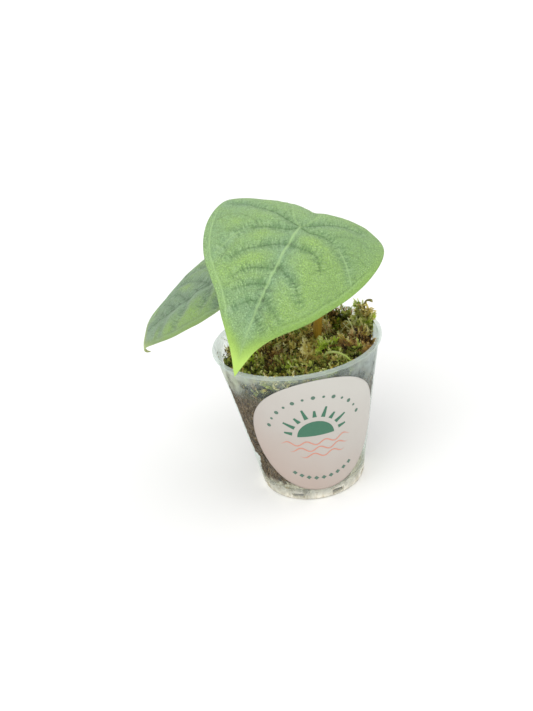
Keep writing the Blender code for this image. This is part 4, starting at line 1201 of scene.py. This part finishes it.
def make_moss():
    draw = random.Random(8)
    edge = inner_radius(MOSS_EDGE_HEIGHT - 2) - 0.3
    lumps = [(x, y, draw.uniform(1.6, 3.4), draw.uniform(-2.4, 1.6)) for x, y in disc_places(80, edge, draw)]
    lumps += [(x, y, radius, -depth) for x, y, radius, depth in MOSS_HOLES]
    lumps += MOSS_MOUNDS

    rings, spokes = 60, 200
    flat_x, flat_y = disc_grid(rings, spokes)
    around = np.arctan2(flat_y, flat_x)
    reach = edge - fill_recess(around, np.full_like(around, 50.0))
    x, y = flat_x * reach, flat_y * reach
    rough = ripples(x, y, 0 * x, 11, 3.2) * 0.45 + ripples(x, y, 0 * x, 12, 1.4) * 0.3
    upper = np.stack([x, y, cushion_height(x, y, lumps) + rough], -1)
    under_reach = inner_radius(SOIL_EDGE_HEIGHT) - 0.6 - fill_recess(around, np.full_like(around, 46.0))
    under_x, under_y = flat_x * under_reach, flat_y * under_reach
    lower = np.stack([under_x, under_y, soil_height(np.hypot(under_x, under_y)) + 0.1], -1)
    faces = round_sheet(rings, spokes)
    mesh_piece("moss_cushion", np.concatenate([lower, upper]), faces, [cushion_look()], "moss", ["moss"])

    looks = {name: moss_look(name) for name in ("green", "gold", "brown", "bright")}
    kinds = ("frond", "brush", "scale", "thread")
    shapes = [shoot_shape(draw, kind) for kind in kinds for _ in range(SHAPES_PER_KIND)]
    first = {kind: index * SHAPES_PER_KIND for index, kind in enumerate(kinds)}
    plants = {name: [] for name in looks}

    def plant(name, kind, root, lean, length, girth, tint, spin=None):
        spin = draw.uniform(0, math.tau) if spin is None else spin
        number = first[kind] + draw.randrange(SHAPES_PER_KIND)
        plants[name].append((number, root, lean, spin, length, girth, tint))

    for x, y in disc_places(CUSHION_SHOOTS, edge - 0.4, draw):
        pull = {"green": 0.46, "gold": 0.34, "brown": 0.18, "bright": 0.12}
        for zone_x, zone_y, reach, name in MOSS_ZONES:
            pull[name] += 3.0 * math.exp(-((x - zone_x) ** 2 + (y - zone_y) ** 2) / reach**2)
        name = draw.choices(list(pull), list(pull.values()))[0]
        shares = (0.66, 0.06, 0.14, 0.14) if name == "brown" else (0.62, 0.14, 0.18, 0.06)
        kind = draw.choices(kinds, shares)[0]
        if math.hypot(x - STEM_PLACE[0], y - STEM_PLACE[1]) < 2.3:
            continue
        recess = float(fill_recess(np.array(math.atan2(y, x)), np.array(50.0)))
        if recess > inner_radius(50) - math.hypot(x, y) - 0.5:
            continue
        in_hole = any(math.hypot(x - hole_x, y - hole_y) < radius for hole_x, hole_y, radius, _ in MOSS_HOLES)
        if in_hole and draw.random() < 0.92:
            continue
        height = float(cushion_height(np.array(x), np.array(y), lumps))
        flat_lying = kind in ("frond", "thread")
        tilt = math.radians(draw.triangular(40, 112, 82) if flat_lying else draw.triangular(20, 100, 66))
        heading = draw.uniform(0, math.tau)
        lean = Vector(on_circle(math.sin(tilt), heading, math.cos(tilt)))
        lean += Vector((-x, -y, 0)) / edge * (0.75 * (math.hypot(x, y) / edge) ** 3)
        lengths = {"frond": draw.uniform(3.8, 7.2), "thread": draw.uniform(5.0, 10.0)}
        length = lengths.get(kind, draw.uniform(2.8, 5.0))
        if abs(x - 8.3) < 3.0 and -6.0 < y < 2.0:
            length *= 0.6
        root = (x, y, height - draw.uniform(0.4, 1.4) + (0.6 if flat_lying else 0.1))
        spin = draw.uniform(-1.2, 1.2) if flat_lying else None
        area = float(ripples(np.array(x), np.array(y), np.array(0.0), 51, 6.0))
        tint = 0.5 + 0.30 * area + draw.uniform(-0.35, 0.35)
        plant(name, kind, root, lean, length, draw.uniform(0.9, 1.4), min(1.0, max(0.0, tint)), spin)

    for (x, y, z), spread, count, name in TUFT:
        for k in range(count):
            place = tuple(middle + draw.uniform(-spread, spread) for middle in (x, y, z))
            lean = Vector((draw.uniform(-0.8, 0.8), draw.uniform(-0.9, 0.6), draw.uniform(0.1, 1.0)))
            kind = draw.choice(("frond", "frond", "scale", "scale", "brush"))
            length = draw.uniform(2.0, 3.2) if z > 56 else draw.uniform(2.8, 4.6)
            plant(name, kind, place, lean, length, draw.uniform(0.9, 1.5), draw.uniform(0.45, 1.25))
    for k in range(RIGHT_SHOOTS):
        turn = math.radians(draw.uniform(8, 24))
        out = draw.uniform(21.0, 27.5)
        lean = Vector((draw.uniform(-0.6, 0.6), draw.uniform(-0.6, 0.4), 1.0))
        name = draw.choice(("green", "gold", "gold"))
        place = on_circle(out, turn, 50.6)
        plant(name, "frond", place, lean, draw.uniform(3.5, 5.5), 1.0, draw.uniform(0.3, 0.9))
    for k in range(BACK_SHOOTS):
        turn = math.radians(draw.uniform(36, 80))
        out = draw.uniform(24.0, 27.6)
        lean = Vector((draw.uniform(-0.5, 0.5), draw.uniform(-0.5, 0.4), 1.0))
        kind = draw.choice(("frond", "scale", "brush", "thread"))
        place = on_circle(out, turn, draw.uniform(50.5, 52.5))
        name = draw.choice(("green", "green", "brown"))
        plant(name, kind, place, lean, draw.uniform(3.6, 6.0), 0.95, draw.uniform(0.1, 0.6))
    for k in range(BRIGHT_SHOOTS):
        lean = Vector((draw.uniform(-1.0, 0.8), draw.uniform(-1.0, 0.2), 0.7))
        place = (10.0 + draw.uniform(-2.4, 2.4), -4.6 + draw.uniform(-1.0, 1.0), 53.4)
        plant("bright", "frond", place, lean, draw.uniform(2.6, 4.0), 1.4, 1.0, draw.uniform(-0.8, 0.8))
    for k in range(LEFT_SHOOTS):
        turn = math.radians(draw.uniform(226, 268))
        out = draw.uniform(23.5, 27.0)
        lean = [way + draw.uniform(-0.8, 0.8) for way in (math.cos(turn), math.sin(turn))]
        lean.append(draw.uniform(0.3, 1.0))
        kind = draw.choice(("brush", "frond"))
        place = on_circle(out, turn, 51.6)
        plant("gold", kind, place, lean, draw.uniform(2.2, 3.8), 0.8, draw.uniform(0.7, 1.0))
    for k in range(ARCH_SHOOTS):
        start = 0.22 * k
        place = (12.1 + 2.2 * start, -3.8 - 11.0 * start, 54.6 - 0.6 * start)
        plant("green", "brush", place, Vector((0.2, -1.0, 0.12 - 0.2 * start)), 4.2, 0.62, 0.0)
    for k in range(WALL_SHOOTS):
        turn = draw.uniform(0, math.tau)
        height = draw.uniform(41.5, 50.0)
        out = inner_radius(height) - 0.2 - float(fill_recess(np.array(turn), np.array(height)))
        slant = draw.uniform(-2.0, 2.0)
        lean = Vector((-math.sin(turn) * slant, math.cos(turn) * slant, draw.uniform(-0.7, 0.9)))
        kind = draw.choice(("thread", "frond", "thread", "brush"))
        name = draw.choice(("gold", "brown", "brown", "green"))
        place = on_circle(out, turn, height)
        plant(name, kind, place, lean, draw.uniform(2.5, 5.0), 0.8, draw.uniform(0.1, 0.8))

    for name, look in looks.items():
        plant_piece("moss_" + name, look, shapes, plants[name])
    make_bits(looks["gold"], shapes, first, draw)


def make_bits(look, shapes, first, draw):
    """Small loose pieces that stick to the inner wall at the left and lie on the lip."""
    plants = []

    def stick(kind, place, lean, length, girth, tint):
        number, spin = first[kind] + draw.randrange(SHAPES_PER_KIND), draw.uniform(0, math.tau)
        length = draw.uniform(*length) if isinstance(length, tuple) else length
        plants.append((number, place, lean, spin, length, girth, tint))

    for degrees, height in BITS_ON_WALL:
        turn = math.radians(degrees)
        lean = (-0.3 * math.sin(turn), 0.3 * math.cos(turn), draw.uniform(-1, 1))
        stick("scale", on_circle(inner_radius(height) - 0.35, turn, height), lean, (1.0, 1.9), 1.0, 0.3)
    for degrees, out, length in BITS_ON_LIP:
        turn = math.radians(degrees)
        lean = on_circle(1, turn + draw.uniform(-0.6, 0.6), 0.05)
        stick("brush", on_circle(out - 1.0, turn, POT_HEIGHT + 0.12), lean, length, 0.7, 0.7)
    plant_piece("moss_bits", look, shapes, plants, keep_clear=False)


def tube(route, radii, sides, seam=0.0, ridges=0, ridge_height=0.0):
    """Points and faces of a closed tube along a route, with soft lengthwise ridges and a lapped seam."""
    route = np.asarray(route, float)
    ahead = np.gradient(route, axis=0)
    ahead /= np.linalg.norm(ahead, axis=1)[:, None]
    side = unit(np.cross(ahead[0], [0.0, 1.0, 0.2]))
    points = []
    turn = full_turn(sides)
    for centre, way, radius in zip(route, ahead, radii):
        side = unit(side - way * (side @ way))
        other = np.cross(way, side)
        around = radius * (1 + ridge_height * np.cos(ridges * turn)) + seam * (turn / math.tau - 0.5)
        points.append(centre + np.outer(np.cos(turn) * around, side) + np.outer(np.sin(turn) * around, other))
    points = np.concatenate(points + [route[:1], route[-1:]])
    along = np.concatenate([np.repeat(np.linspace(0, 1, len(route)), sides), [0, 1]])
    return points, ring_faces(len(route), sides), along


def through_points(route, count):
    """Points spread along a smooth curve through the route's points."""
    route = np.asarray(route, float)
    padded = np.concatenate([[2 * route[0] - route[1]], route, [2 * route[-1] - route[-2]]])
    made = []
    for k in range(len(route) - 1):
        p0, p1, p2, p3 = padded[k : k + 4]
        for t in np.linspace(0, 1, count, endpoint=k == len(route) - 2):
            bend = (2 * p0 - 5 * p1 + 4 * p2 - p3) * t**2
            made.append(0.5 * (2 * p1 + (p2 - p0) * t + bend + (3 * p1 - p0 - 3 * p2 + p3) * t**3))
    return np.array(made)


def make_runner():
    route = through_points(RUNNER_ROUTE, 12)
    radii = RUNNER_RADIUS * np.interp(np.linspace(0, 1, len(route)), [0, 0.6, 0.9, 1], [1.0, 0.95, 0.6, 0.3])
    points, faces, along = tube(route, radii, 14, ridges=4, ridge_height=0.1)
    mesh_piece("moss_strand", points, faces, [runner_look()], "moss_runner", ["moss_runner"], along=along)

    curl = through_points(CURL_ROUTE, 8)
    radii = CURL_RADIUS * np.interp(np.linspace(0, 1, len(curl)), [0, 0.6, 0.85, 1], [1.0, 0.8, 1.4, 0.4])
    points, faces, along = tube(curl, radii, 8, ridges=3, ridge_height=0.25)
    tint = np.full(len(points), 0.5)
    mesh_piece("moss_curl", points, faces, [moss_look("dry")], "moss", along=along, tint=tint)

    all_points, all_faces, all_along = [], [], []
    for places, radius in MOSS_WIRES:
        route = through_points(places, 7)
        points, faces, along = tube(route, radius * np.linspace(1.0, 0.45, len(route)), 6)
        all_faces += [part + sum(map(len, all_points)) for part in faces]
        all_points.append(points)
        all_along.append(along)
    points, along = np.concatenate(all_points), np.concatenate(all_along)
    tint = np.full(len(points), 0.5)
    mesh_piece("moss_wires", points, all_faces, [moss_look("wire")], "moss", along=along, tint=tint)


def make_stem():
    x, y = STEM_PLACE
    route = through_points(((x, y, STEM_ROOT_HEIGHT), (x, y, 46.0), (x, y, MOSS_MIDDLE_HEIGHT), STEM_TOP), 22)
    share = (route[:, 2] - STEM_ROOT_HEIGHT) / (STEM_TOP[2] - STEM_ROOT_HEIGHT)
    radii = np.interp(share, [0, 0.66, 0.85, 1.0], [1.70, 1.42, 1.58, 1.95])
    points, faces, _ = tube(route, radii, 72, seam=0.16, ridges=9, ridge_height=0.025)
    mesh_piece("sheathed_stem", points, faces, [sheath_look()], "stem_sheath", ["stem"])


def stalk_route(foot, leaf):
    """The CAD stalk's curve, from a little inside the stem to the blade's middle sheet."""
    facing = unit(np.array(leaf["upper_side"]))
    end = np.array(leaf["stalk_end"]) - facing * STALK_SHORT
    foot = np.array(foot)
    reach = np.linalg.norm(end - foot)
    away = (end - foot) / reach
    first = foot + (np.array([0, 0, 0.6]) + away * 0.4) * reach * 0.35
    last = end - facing * reach * 0.3
    t = np.linspace(0, 1, 60)[:, None]
    route = foot * (1 - t) ** 3 + 3 * first * t * (1 - t) ** 2 + 3 * last * t**2 * (1 - t) + end * t**3
    down = unit(route[0] - route[1])
    return np.concatenate([[route[0] + down * STALK_SUNK, route[0] + down * STALK_SUNK / 2], route])


def make_stalks():
    look = stalk_look()
    for name, foot, leaf, radius, node in (
        ("front_leaf_stalk", FRONT_STALK_FOOT, FRONT_LEAF, 1.25, "stalk_front"),
        ("back_leaf_stalk", BACK_STALK_FOOT, BACK_LEAF, 1.1, "stalk_back"),
    ):
        route = stalk_route(foot, leaf)
        share = np.linspace(0, 1, len(route))
        radii = radius * np.interp(share, [0, 0.1, 0.8, 0.93, 1], [1.0, 0.98, 0.78, 0.84, 0.92])
        points, faces, along = tube(route, radii, 36, ridges=7, ridge_height=0.03)
        mesh_piece(name, points, faces, [look], "leaf_stalk", [node], along=along)


def through(knots, values, at):
    """A smooth curve through the knots that never overshoots them."""
    step = np.diff(knots)
    slope = np.diff(values) / step
    tangent = np.zeros(len(knots))
    before, after = 2 * step[1:] + step[:-1], step[1:] + 2 * step[:-1]
    same = slope[:-1] * slope[1:] > 0
    mean = (before + after)[same] / (before[same] / slope[:-1][same] + after[same] / slope[1:][same])
    tangent[1:-1][same] = mean
    tangent[0], tangent[-1] = slope[0], slope[-1]
    k = np.clip(np.searchsorted(knots, at) - 1, 0, len(step) - 1)
    t = (at - knots[k]) / step[k]
    start = values[k] * (1 + 2 * t) * (1 - t) ** 2 + step[k] * tangent[k] * t * (1 - t) ** 2
    return start + values[k + 1] * t**2 * (3 - 2 * t) + step[k] * tangent[k + 1] * t**2 * (t - 1)


def blade_radius(leaf, angle):
    knots = np.radians(OUTLINE_ANGLES)
    sides = [through(knots, np.log(leaf[side]), np.abs(angle)) for side in ("left", "right")]
    return np.exp(np.where(angle >= 0, sides[1], sides[0]))


def vein_points(places, count=VEIN_STEPS):
    """Evenly spaced points of a vein that runs smoothly through its places in the flat blade."""
    route = through_points(places, 30)
    length = np.concatenate([[0], np.cumsum(np.linalg.norm(np.diff(route, axis=0), axis=1))])
    at = np.linspace(0, length[-1], count)
    return np.stack([np.interp(at, length, route[:, 0]), np.interp(at, length, route[:, 1])], -1)


def nearest(points, x, y):
    """Distance from each place to the nearest of the points, and which one it is."""
    tree = KDTree(len(points))
    for index, (px, py) in enumerate(points):
        tree.insert((px, py, 0), index)
    tree.balance()
    found = [tree.find((px, py, 0)) for px, py in zip(x, y)]
    return np.array([f[2] for f in found]), np.array([f[1] for f in found])


def branches(draw):
    """Short side branches off the veins and the midrib."""
    lines = []
    trunks = [vein_points(places) for places, _ in VEINS + MINOR_VEINS[2:]]
    trunks.append(np.stack([np.zeros(VEIN_STEPS), np.linspace(3.0, 44.0, VEIN_STEPS)], -1))
    for trunk in trunks:
        length = np.concatenate([[0], np.cumsum(np.linalg.norm(np.diff(trunk, axis=0), axis=1))])
        place = draw.uniform(3.0, 5.0)
        hand = 1
        while place < length[-1] - 1.0:
            at, next_at = (
                np.array([np.interp(s, length, part) for part in trunk.T]) for s in (place, place + 0.5)
            )
            ahead = next_at - at
            heading = math.atan2(ahead[1], ahead[0]) + hand * math.radians(draw.uniform(48, 72))
            run = draw.uniform(2.8, 5.2)
            middle = at + run * 0.5 * np.array([math.cos(heading), math.sin(heading)])
            bent = heading - hand * math.radians(draw.uniform(10, 35))
            end = middle + run * 0.5 * np.array([math.cos(bent), math.sin(bent)])
            lines.append(vein_points((at, middle, end), 24))
            place += BRANCH_SPACING * draw.uniform(0.6, 1.2)
            hand = -hand
    return np.concatenate(lines)


def bend_blade(leaf, x, y, lift):
    """Points of the flat blade, lifted off its middle sheet, carried to their places in the plant."""
    along = np.linspace(-45, 80, 501)
    first, second = leaf["droop"]
    curl_start, curl_rate = leaf["tip_curl"]
    pitch = np.where(along > 0, first * along + second * along**2, leaf["lobe_droop"] * along)
    pitch += curl_rate * np.clip(along - curl_start, 0, None) ** 2
    middle = (pitch[1:] + pitch[:-1]) / 2
    spacing = along[1] - along[0]
    forward = np.concatenate([[0], np.cumsum(np.cos(middle)) * spacing])
    upward = np.concatenate([[0], np.cumsum(-np.sin(middle)) * spacing])
    forward -= np.interp(0, along, forward)
    upward -= np.interp(0, along, upward)
    beta = np.interp(y, along, pitch)

    def half(fold):
        """Distance out and height of a cross-section that leaves the midrib at a slope and curls."""
        slope, curl, change = fold
        rate = curl + change * y
        rate = np.where(np.abs(rate) > 1e-6, rate, 1e-6)
        turned_by = slope - rate * np.abs(x)
        return (np.sin(slope) - np.sin(turned_by)) / rate, (np.cos(turned_by) - np.cos(slope)) / rate

    right_out, right_up = half(leaf["right_fold"])
    left_out, left_up = half(leaf["left_fold"])
    out = np.where(x >= 0, right_out, -left_out)
    rise = np.where(x >= 0, right_up, left_up)
    rise = rise + leaf["dimple"] * (1 - np.exp(-(x**2 + y**2) / DIMPLE_RADIUS**2)) + lift
    roll = leaf["twist"] * y
    side = out * np.cos(roll) - rise * np.sin(roll) + leaf["sweep"] * y**2 / 2
    rise = out * np.sin(roll) + rise * np.cos(roll)
    ahead = np.interp(y, along, forward) + rise * np.sin(beta)
    height = np.interp(y, along, upward) + rise * np.cos(beta)

    tip_axis = unit(np.array(leaf["to_tip"]))
    up_axis = np.array(leaf["upper_side"])
    up_axis = unit(up_axis - tip_axis * (up_axis @ tip_axis))
    right_axis = np.cross(tip_axis, up_axis)
    places = np.outer(side, right_axis) + np.outer(ahead, tip_axis) + np.outer(height, up_axis)
    return places + np.array(leaf["stalk_end"])


def make_blade(name, leaf, upper_look, lower_look, node, seed):
    """A blade whose veins, pillows, midrib and margin are relief on both sides."""
    draw = random.Random(seed)
    share = np.linspace(-1, 1, BLADE_SPOKES, endpoint=False)
    angle = math.pi * (TIP_CROWDING * share + (1 - TIP_CROWDING) * share**3)
    part = np.arange(1, BLADE_RINGS + 1) / BLADE_RINGS
    part = 0.7 * part + 0.3 * np.sin(part * math.pi / 2)
    reach, turn = np.meshgrid(part, angle, indexing="ij")
    radius = blade_radius(leaf, turn) * reach
    x = np.concatenate([[0.0], (radius * np.sin(turn)).ravel()])
    y = np.concatenate([[0.0], (radius * np.cos(turn)).ravel()])
    edge = np.concatenate([[0.0], reach.ravel()])
    around = np.concatenate([[0.0], turn.ravel()])

    outline = np.linspace(-math.pi, math.pi, 1400)
    outline_radius = blade_radius(leaf, outline)
    rim = np.stack([outline_radius * np.sin(outline), outline_radius * np.cos(outline)], -1)
    from_margin, _ = nearest(rim, x, y)
    from_margin[-BLADE_SPOKES:] = 0

    lines = [vein_points(places) for places, _ in VEINS]
    minor = [vein_points(places) for places, _ in MINOR_VEINS]
    midline = np.interp(y, *leaf["midline"])
    beside = x - midline * clamp(1 - np.abs(x - midline) / 12)
    d_main, which = nearest(np.concatenate(lines), beside, y)
    t_main = (which % VEIN_STEPS) / (VEIN_STEPS - 1)
    vein = which // VEIN_STEPS
    rib_start = np.array([1.0 if leaf["sunk"] else v[1] for v in VEINS])[vein]
    length = np.array([np.linalg.norm(np.diff(line, axis=0), axis=1).sum() for line in lines])[vein]
    along = t_main * length + vein * 3.7
    d_minor, minor_which = nearest(np.concatenate(minor), beside, y)
    minor_rib = np.array([v[1] for v in MINOR_VEINS])[minor_which // VEIN_STEPS]
    d_branch, _ = nearest(branches(draw), beside, y)
    d_mid = np.where(y > -0.3, np.abs(beside), np.hypot(x, y))
    fade = clamp((from_margin - 0.4) / 2.0)
    wander = ripples(x, y, 0 * x, seed + 1, 9.0) * 0.35

    strength = clamp(1.15 - 0.6 * t_main) * fade * (0.35 + 0.65 * (t_main < rib_start))
    if leaf["sunk"]:
        strength *= np.where(beside > 0, 0.75, 0.35)
    hollow = bell(d_main / HOLLOW_WIDTH) * strength
    # Painted shade in the sunken veins, their branches and the collecting line inside the margin
    groove_shade = bell(d_main / GROOVE_WIDTH) * strength
    groove_shade = np.maximum(groove_shade, 0.55 * bell(d_minor / 0.34) * (minor_rib > 0.5) * fade)
    groove_shade = np.maximum(groove_shade, 0.30 * bell(d_branch / GROOVE_WIDTH) * fade)
    lower = clamp(y / 12) * clamp((46 - y) / 8)
    inset = 1.2 + 1.5 * lower + 0.35 * wander
    collector = bell((from_margin - inset) / 0.34) * clamp((46 - y) / 8)
    groove_shade = np.maximum(groove_shade, np.where(x > 0, 0.2, 0.6) * collector * lower)
    width = np.interp(y, [0, 30, 52, 60], [0.50, 0.42, 0.30, 0.20])
    midrib = bell(d_mid / width) * (y > -1.0) * clamp((54 - y) / 10)
    raised = clamp((t_main - rib_start) / 0.15) * bell(d_main / GROOVE_WIDTH) * fade
    small_rib = (minor_rib < 0.5) * bell(d_minor / SMALL_RIB_WIDTH) * fade
    # Painted highlight: a pale line just inside the collecting line, standing for light on a fold along the
    # margin
    fold_highlight = bell((from_margin - inset + 0.6) / 0.30) * lower
    fold_highlight *= np.where(x > 0, 0.9, 0.45)
    rib = np.maximum(raised, np.maximum(0.6 * small_rib, fold_highlight))
    if leaf["sunk"]:
        # Painted shade along the back blade's sunken midrib
        long_groove_shade = bell(d_mid / 0.55) * clamp(y / 4) * clamp((50 - y) / 8)
        groove_shade = np.maximum(groove_shade, 0.95 * long_groove_shade)
        smooth_band = bell((beside + 2.6) / 1.7) * clamp(y / 6) * clamp((52 - y) / 6)
        rib = np.maximum(rib, 0.45 * smooth_band)
        midrib = -midrib
    else:
        rib = np.maximum(rib, midrib)
    beside_midrib = bell((d_mid - width - 0.7) / 0.55) * (y > 1) * fade

    pillow = 1 - bell(d_main / PILLOW_WIDTH)
    inside = 1 - edge**6
    surface = (PILLOW_HEIGHT * pillow - PILLOW_HEIGHT / 2) * inside
    surface += MARGIN_RIPPLE * np.sin(MARGIN_RIPPLES * around) * edge**4
    coarse, fine = (ripples(x, y, 0 * x, seed + 2 + k, size) * rise for k, (size, rise) in enumerate(QUILT))
    quilt = (coarse + fine) * fade * clamp((d_mid - 0.5) / 1.5)
    top = surface + quilt - HOLLOW_DEPTH * hollow - BESIDE_MIDRIB_DEPTH * beside_midrib
    top = top + MIDRIB_RISE * midrib + RAISED_VEIN_RISE * raised + SMALL_RIB_RISE * small_rib
    thick = BLADE_THICKNESS * np.clip(from_margin / 0.8, 0.25, 1)
    keel_fade = np.interp(y, [-2.5, 0, 40, 56], [0, 1, 0.7, 0.2])
    keel = bell(d_mid / KEEL_WIDTH) * keel_fade
    side_keel = bell(d_main / SIDE_KEEL_WIDTH) * clamp(1.1 - t_main) * fade
    small_keel = np.maximum(bell(d_minor / SMALL_KEEL_WIDTH), 0.4 * bell(d_branch / SMALL_KEEL_WIDTH)) * fade
    under = surface + quilt - thick - KEEL_DROP * keel - SIDE_KEEL_DROP * side_keel
    under = under - SMALL_KEEL_DROP * small_keel

    upper = bend_blade(leaf, x, y, top + BLADE_LIFT)
    below = bend_blade(leaf, x, y, np.minimum(under + BLADE_LIFT, top + BLADE_LIFT - LEAST_THICKNESS))
    flat = np.stack([x, y, np.zeros_like(x)], -1)
    comb = np.stack([along, np.minimum(d_main, d_mid), vein * 7.0], -1)
    band = np.where(x < 0, 0.12 + 0.60 * clamp((y + 6) / 18), 0.06 + 0.64 * clamp((y - 36) / 12))
    reach = np.where(x < 0, 2.6, 1.3) + 1.2 * clamp((y - 30) / 12) + 0.5 * wander
    margin = band * clamp(1.15 - from_margin / reach) ** 0.8
    tip = clamp((y - 45 + 6 * clamp(1 - from_margin / 4)) / 13) ** 1.3
    warm = 0.10 * clamp(x / 16) + 0.34 * clamp(-x / 14)
    for sign, patches in ((0.28, leaf["warm_patches"]), (-0.20, leaf["cool_patches"])):
        for patch_x, patch_y, size in patches:
            warm += sign * np.exp(-((x - patch_x) ** 2 + (y - patch_y) ** 2) / (1.3 * size) ** 2)
    # Painted shade: darker beside the main veins and over the blade's side of negative x, away from the key
    # light
    slope = bell(d_main / 1.25) * strength * (0.5 + 0.5 * (t_main < 0.5))
    slope = np.maximum(slope, 0.8 * clamp((-x - 6) / 12))
    attributes = {
        "flat": flat,
        "groove_shade": groove_shade,
        "slope": slope,
        "rib": rib,
        "pillow": clamp((d_main - 0.5) / 3.5) * clamp((d_mid - 0.8) / 3.0),
        "margin": margin,
        "tip": tip,
        "comb": comb,
        "warm": warm,
        "off": np.minimum(d_main, d_mid) if leaf["sunk"] else d_main,
        "keel": np.maximum(np.maximum(keel, side_keel), 0.6 * small_keel),
    }
    attributes = {label: np.concatenate([values, values]) for label, values in attributes.items()}
    faces = round_sheet(BLADE_RINGS, BLADE_SPOKES)
    half = len(faces[0]) + len(faces[1])
    parts = np.concatenate([np.ones(half), np.zeros(half), np.zeros(len(faces[4]))])
    points = np.concatenate([below, upper])
    mesh_piece(name, points, faces, [upper_look, lower_look], node, [node], parts, **attributes)


def make_leaves():
    for name, leaf, colours, light_share, base, vein, node, seed in (
        ("front_blade", FRONT_LEAF, FRONT_COLOURS, 0.16, (138, 168, 116), (160, 184, 128), "leaf_front", 31),
        ("back_blade", BACK_LEAF, BACK_COLOURS, 0.12, (130, 158, 114), (150, 172, 124), "leaf_back", 47),
    ):
        upper = leaf_look(name + "_upper", colours, light_share)
        make_blade(name, leaf, upper, underside_look(name + "_lower", base, vein), node, seed)


def make_studio():
    scene = bpy.context.scene
    floor_mesh = bpy.data.meshes.new("studio_floor")
    shaped = bmesh.new()
    bmesh.ops.create_circle(shaped, cap_ends=True, segments=96, radius=FLOOR_RADIUS)
    bmesh.ops.translate(shaped, verts=shaped.verts, vec=(0, 0, -FLOOR_DROP))
    shaped.to_mesh(floor_mesh)
    shaped.free()
    floor_mesh.materials.append(floor_look())
    floor = bpy.data.objects.new("studio_floor", floor_mesh)
    scene.collection.objects.link(floor)

    scene.world = bpy.data.worlds.new("studio")
    scene.world.use_nodes = True
    sky = scene.world.node_tree.nodes["Background"].inputs
    sky["Color"].default_value = (1.0, 1.0, 1.0, 1.0)
    sky["Strength"].default_value = SKY_STRENGTH

    for name, towards, spread, power in LIGHTS:
        lamp = bpy.data.lights.new(name, "SUN")
        lamp.angle = math.radians(spread)
        lamp.energy = power
        made = bpy.data.objects.new(name, lamp)
        made.rotation_euler = (-Vector(towards)).to_track_quat("-Z", "Y").to_euler()
        scene.collection.objects.link(made)

    camera = bpy.data.cameras.new("camera")
    camera.lens = CAMERA_LENS
    camera.sensor_width = CAMERA_SENSOR
    camera.clip_start = 0.01
    camera.clip_end = 50.0
    made = bpy.data.objects.new("camera", camera)
    elevation, roll = math.radians(CAMERA_ELEVATION), math.radians(CAMERA_ROLL)
    back = Vector((0, -math.cos(elevation), math.sin(elevation)))
    level = Vector((1, 0, 0))
    upright = back.cross(level)
    right = level * math.cos(roll) + upright * math.sin(roll)
    up = upright * math.cos(roll) - level * math.sin(roll)
    place = Matrix((right, up, back)).transposed().to_4x4()
    place.translation = Vector(CAMERA_PLACE) * MM
    made.matrix_world = place
    scene.collection.objects.link(made)
    scene.camera = made
    scene.view_settings.view_transform = "Standard"


make_pot()
make_label()
make_soil()
make_moss()
make_runner()
make_stem()
make_stalks()
make_leaves()
make_studio()
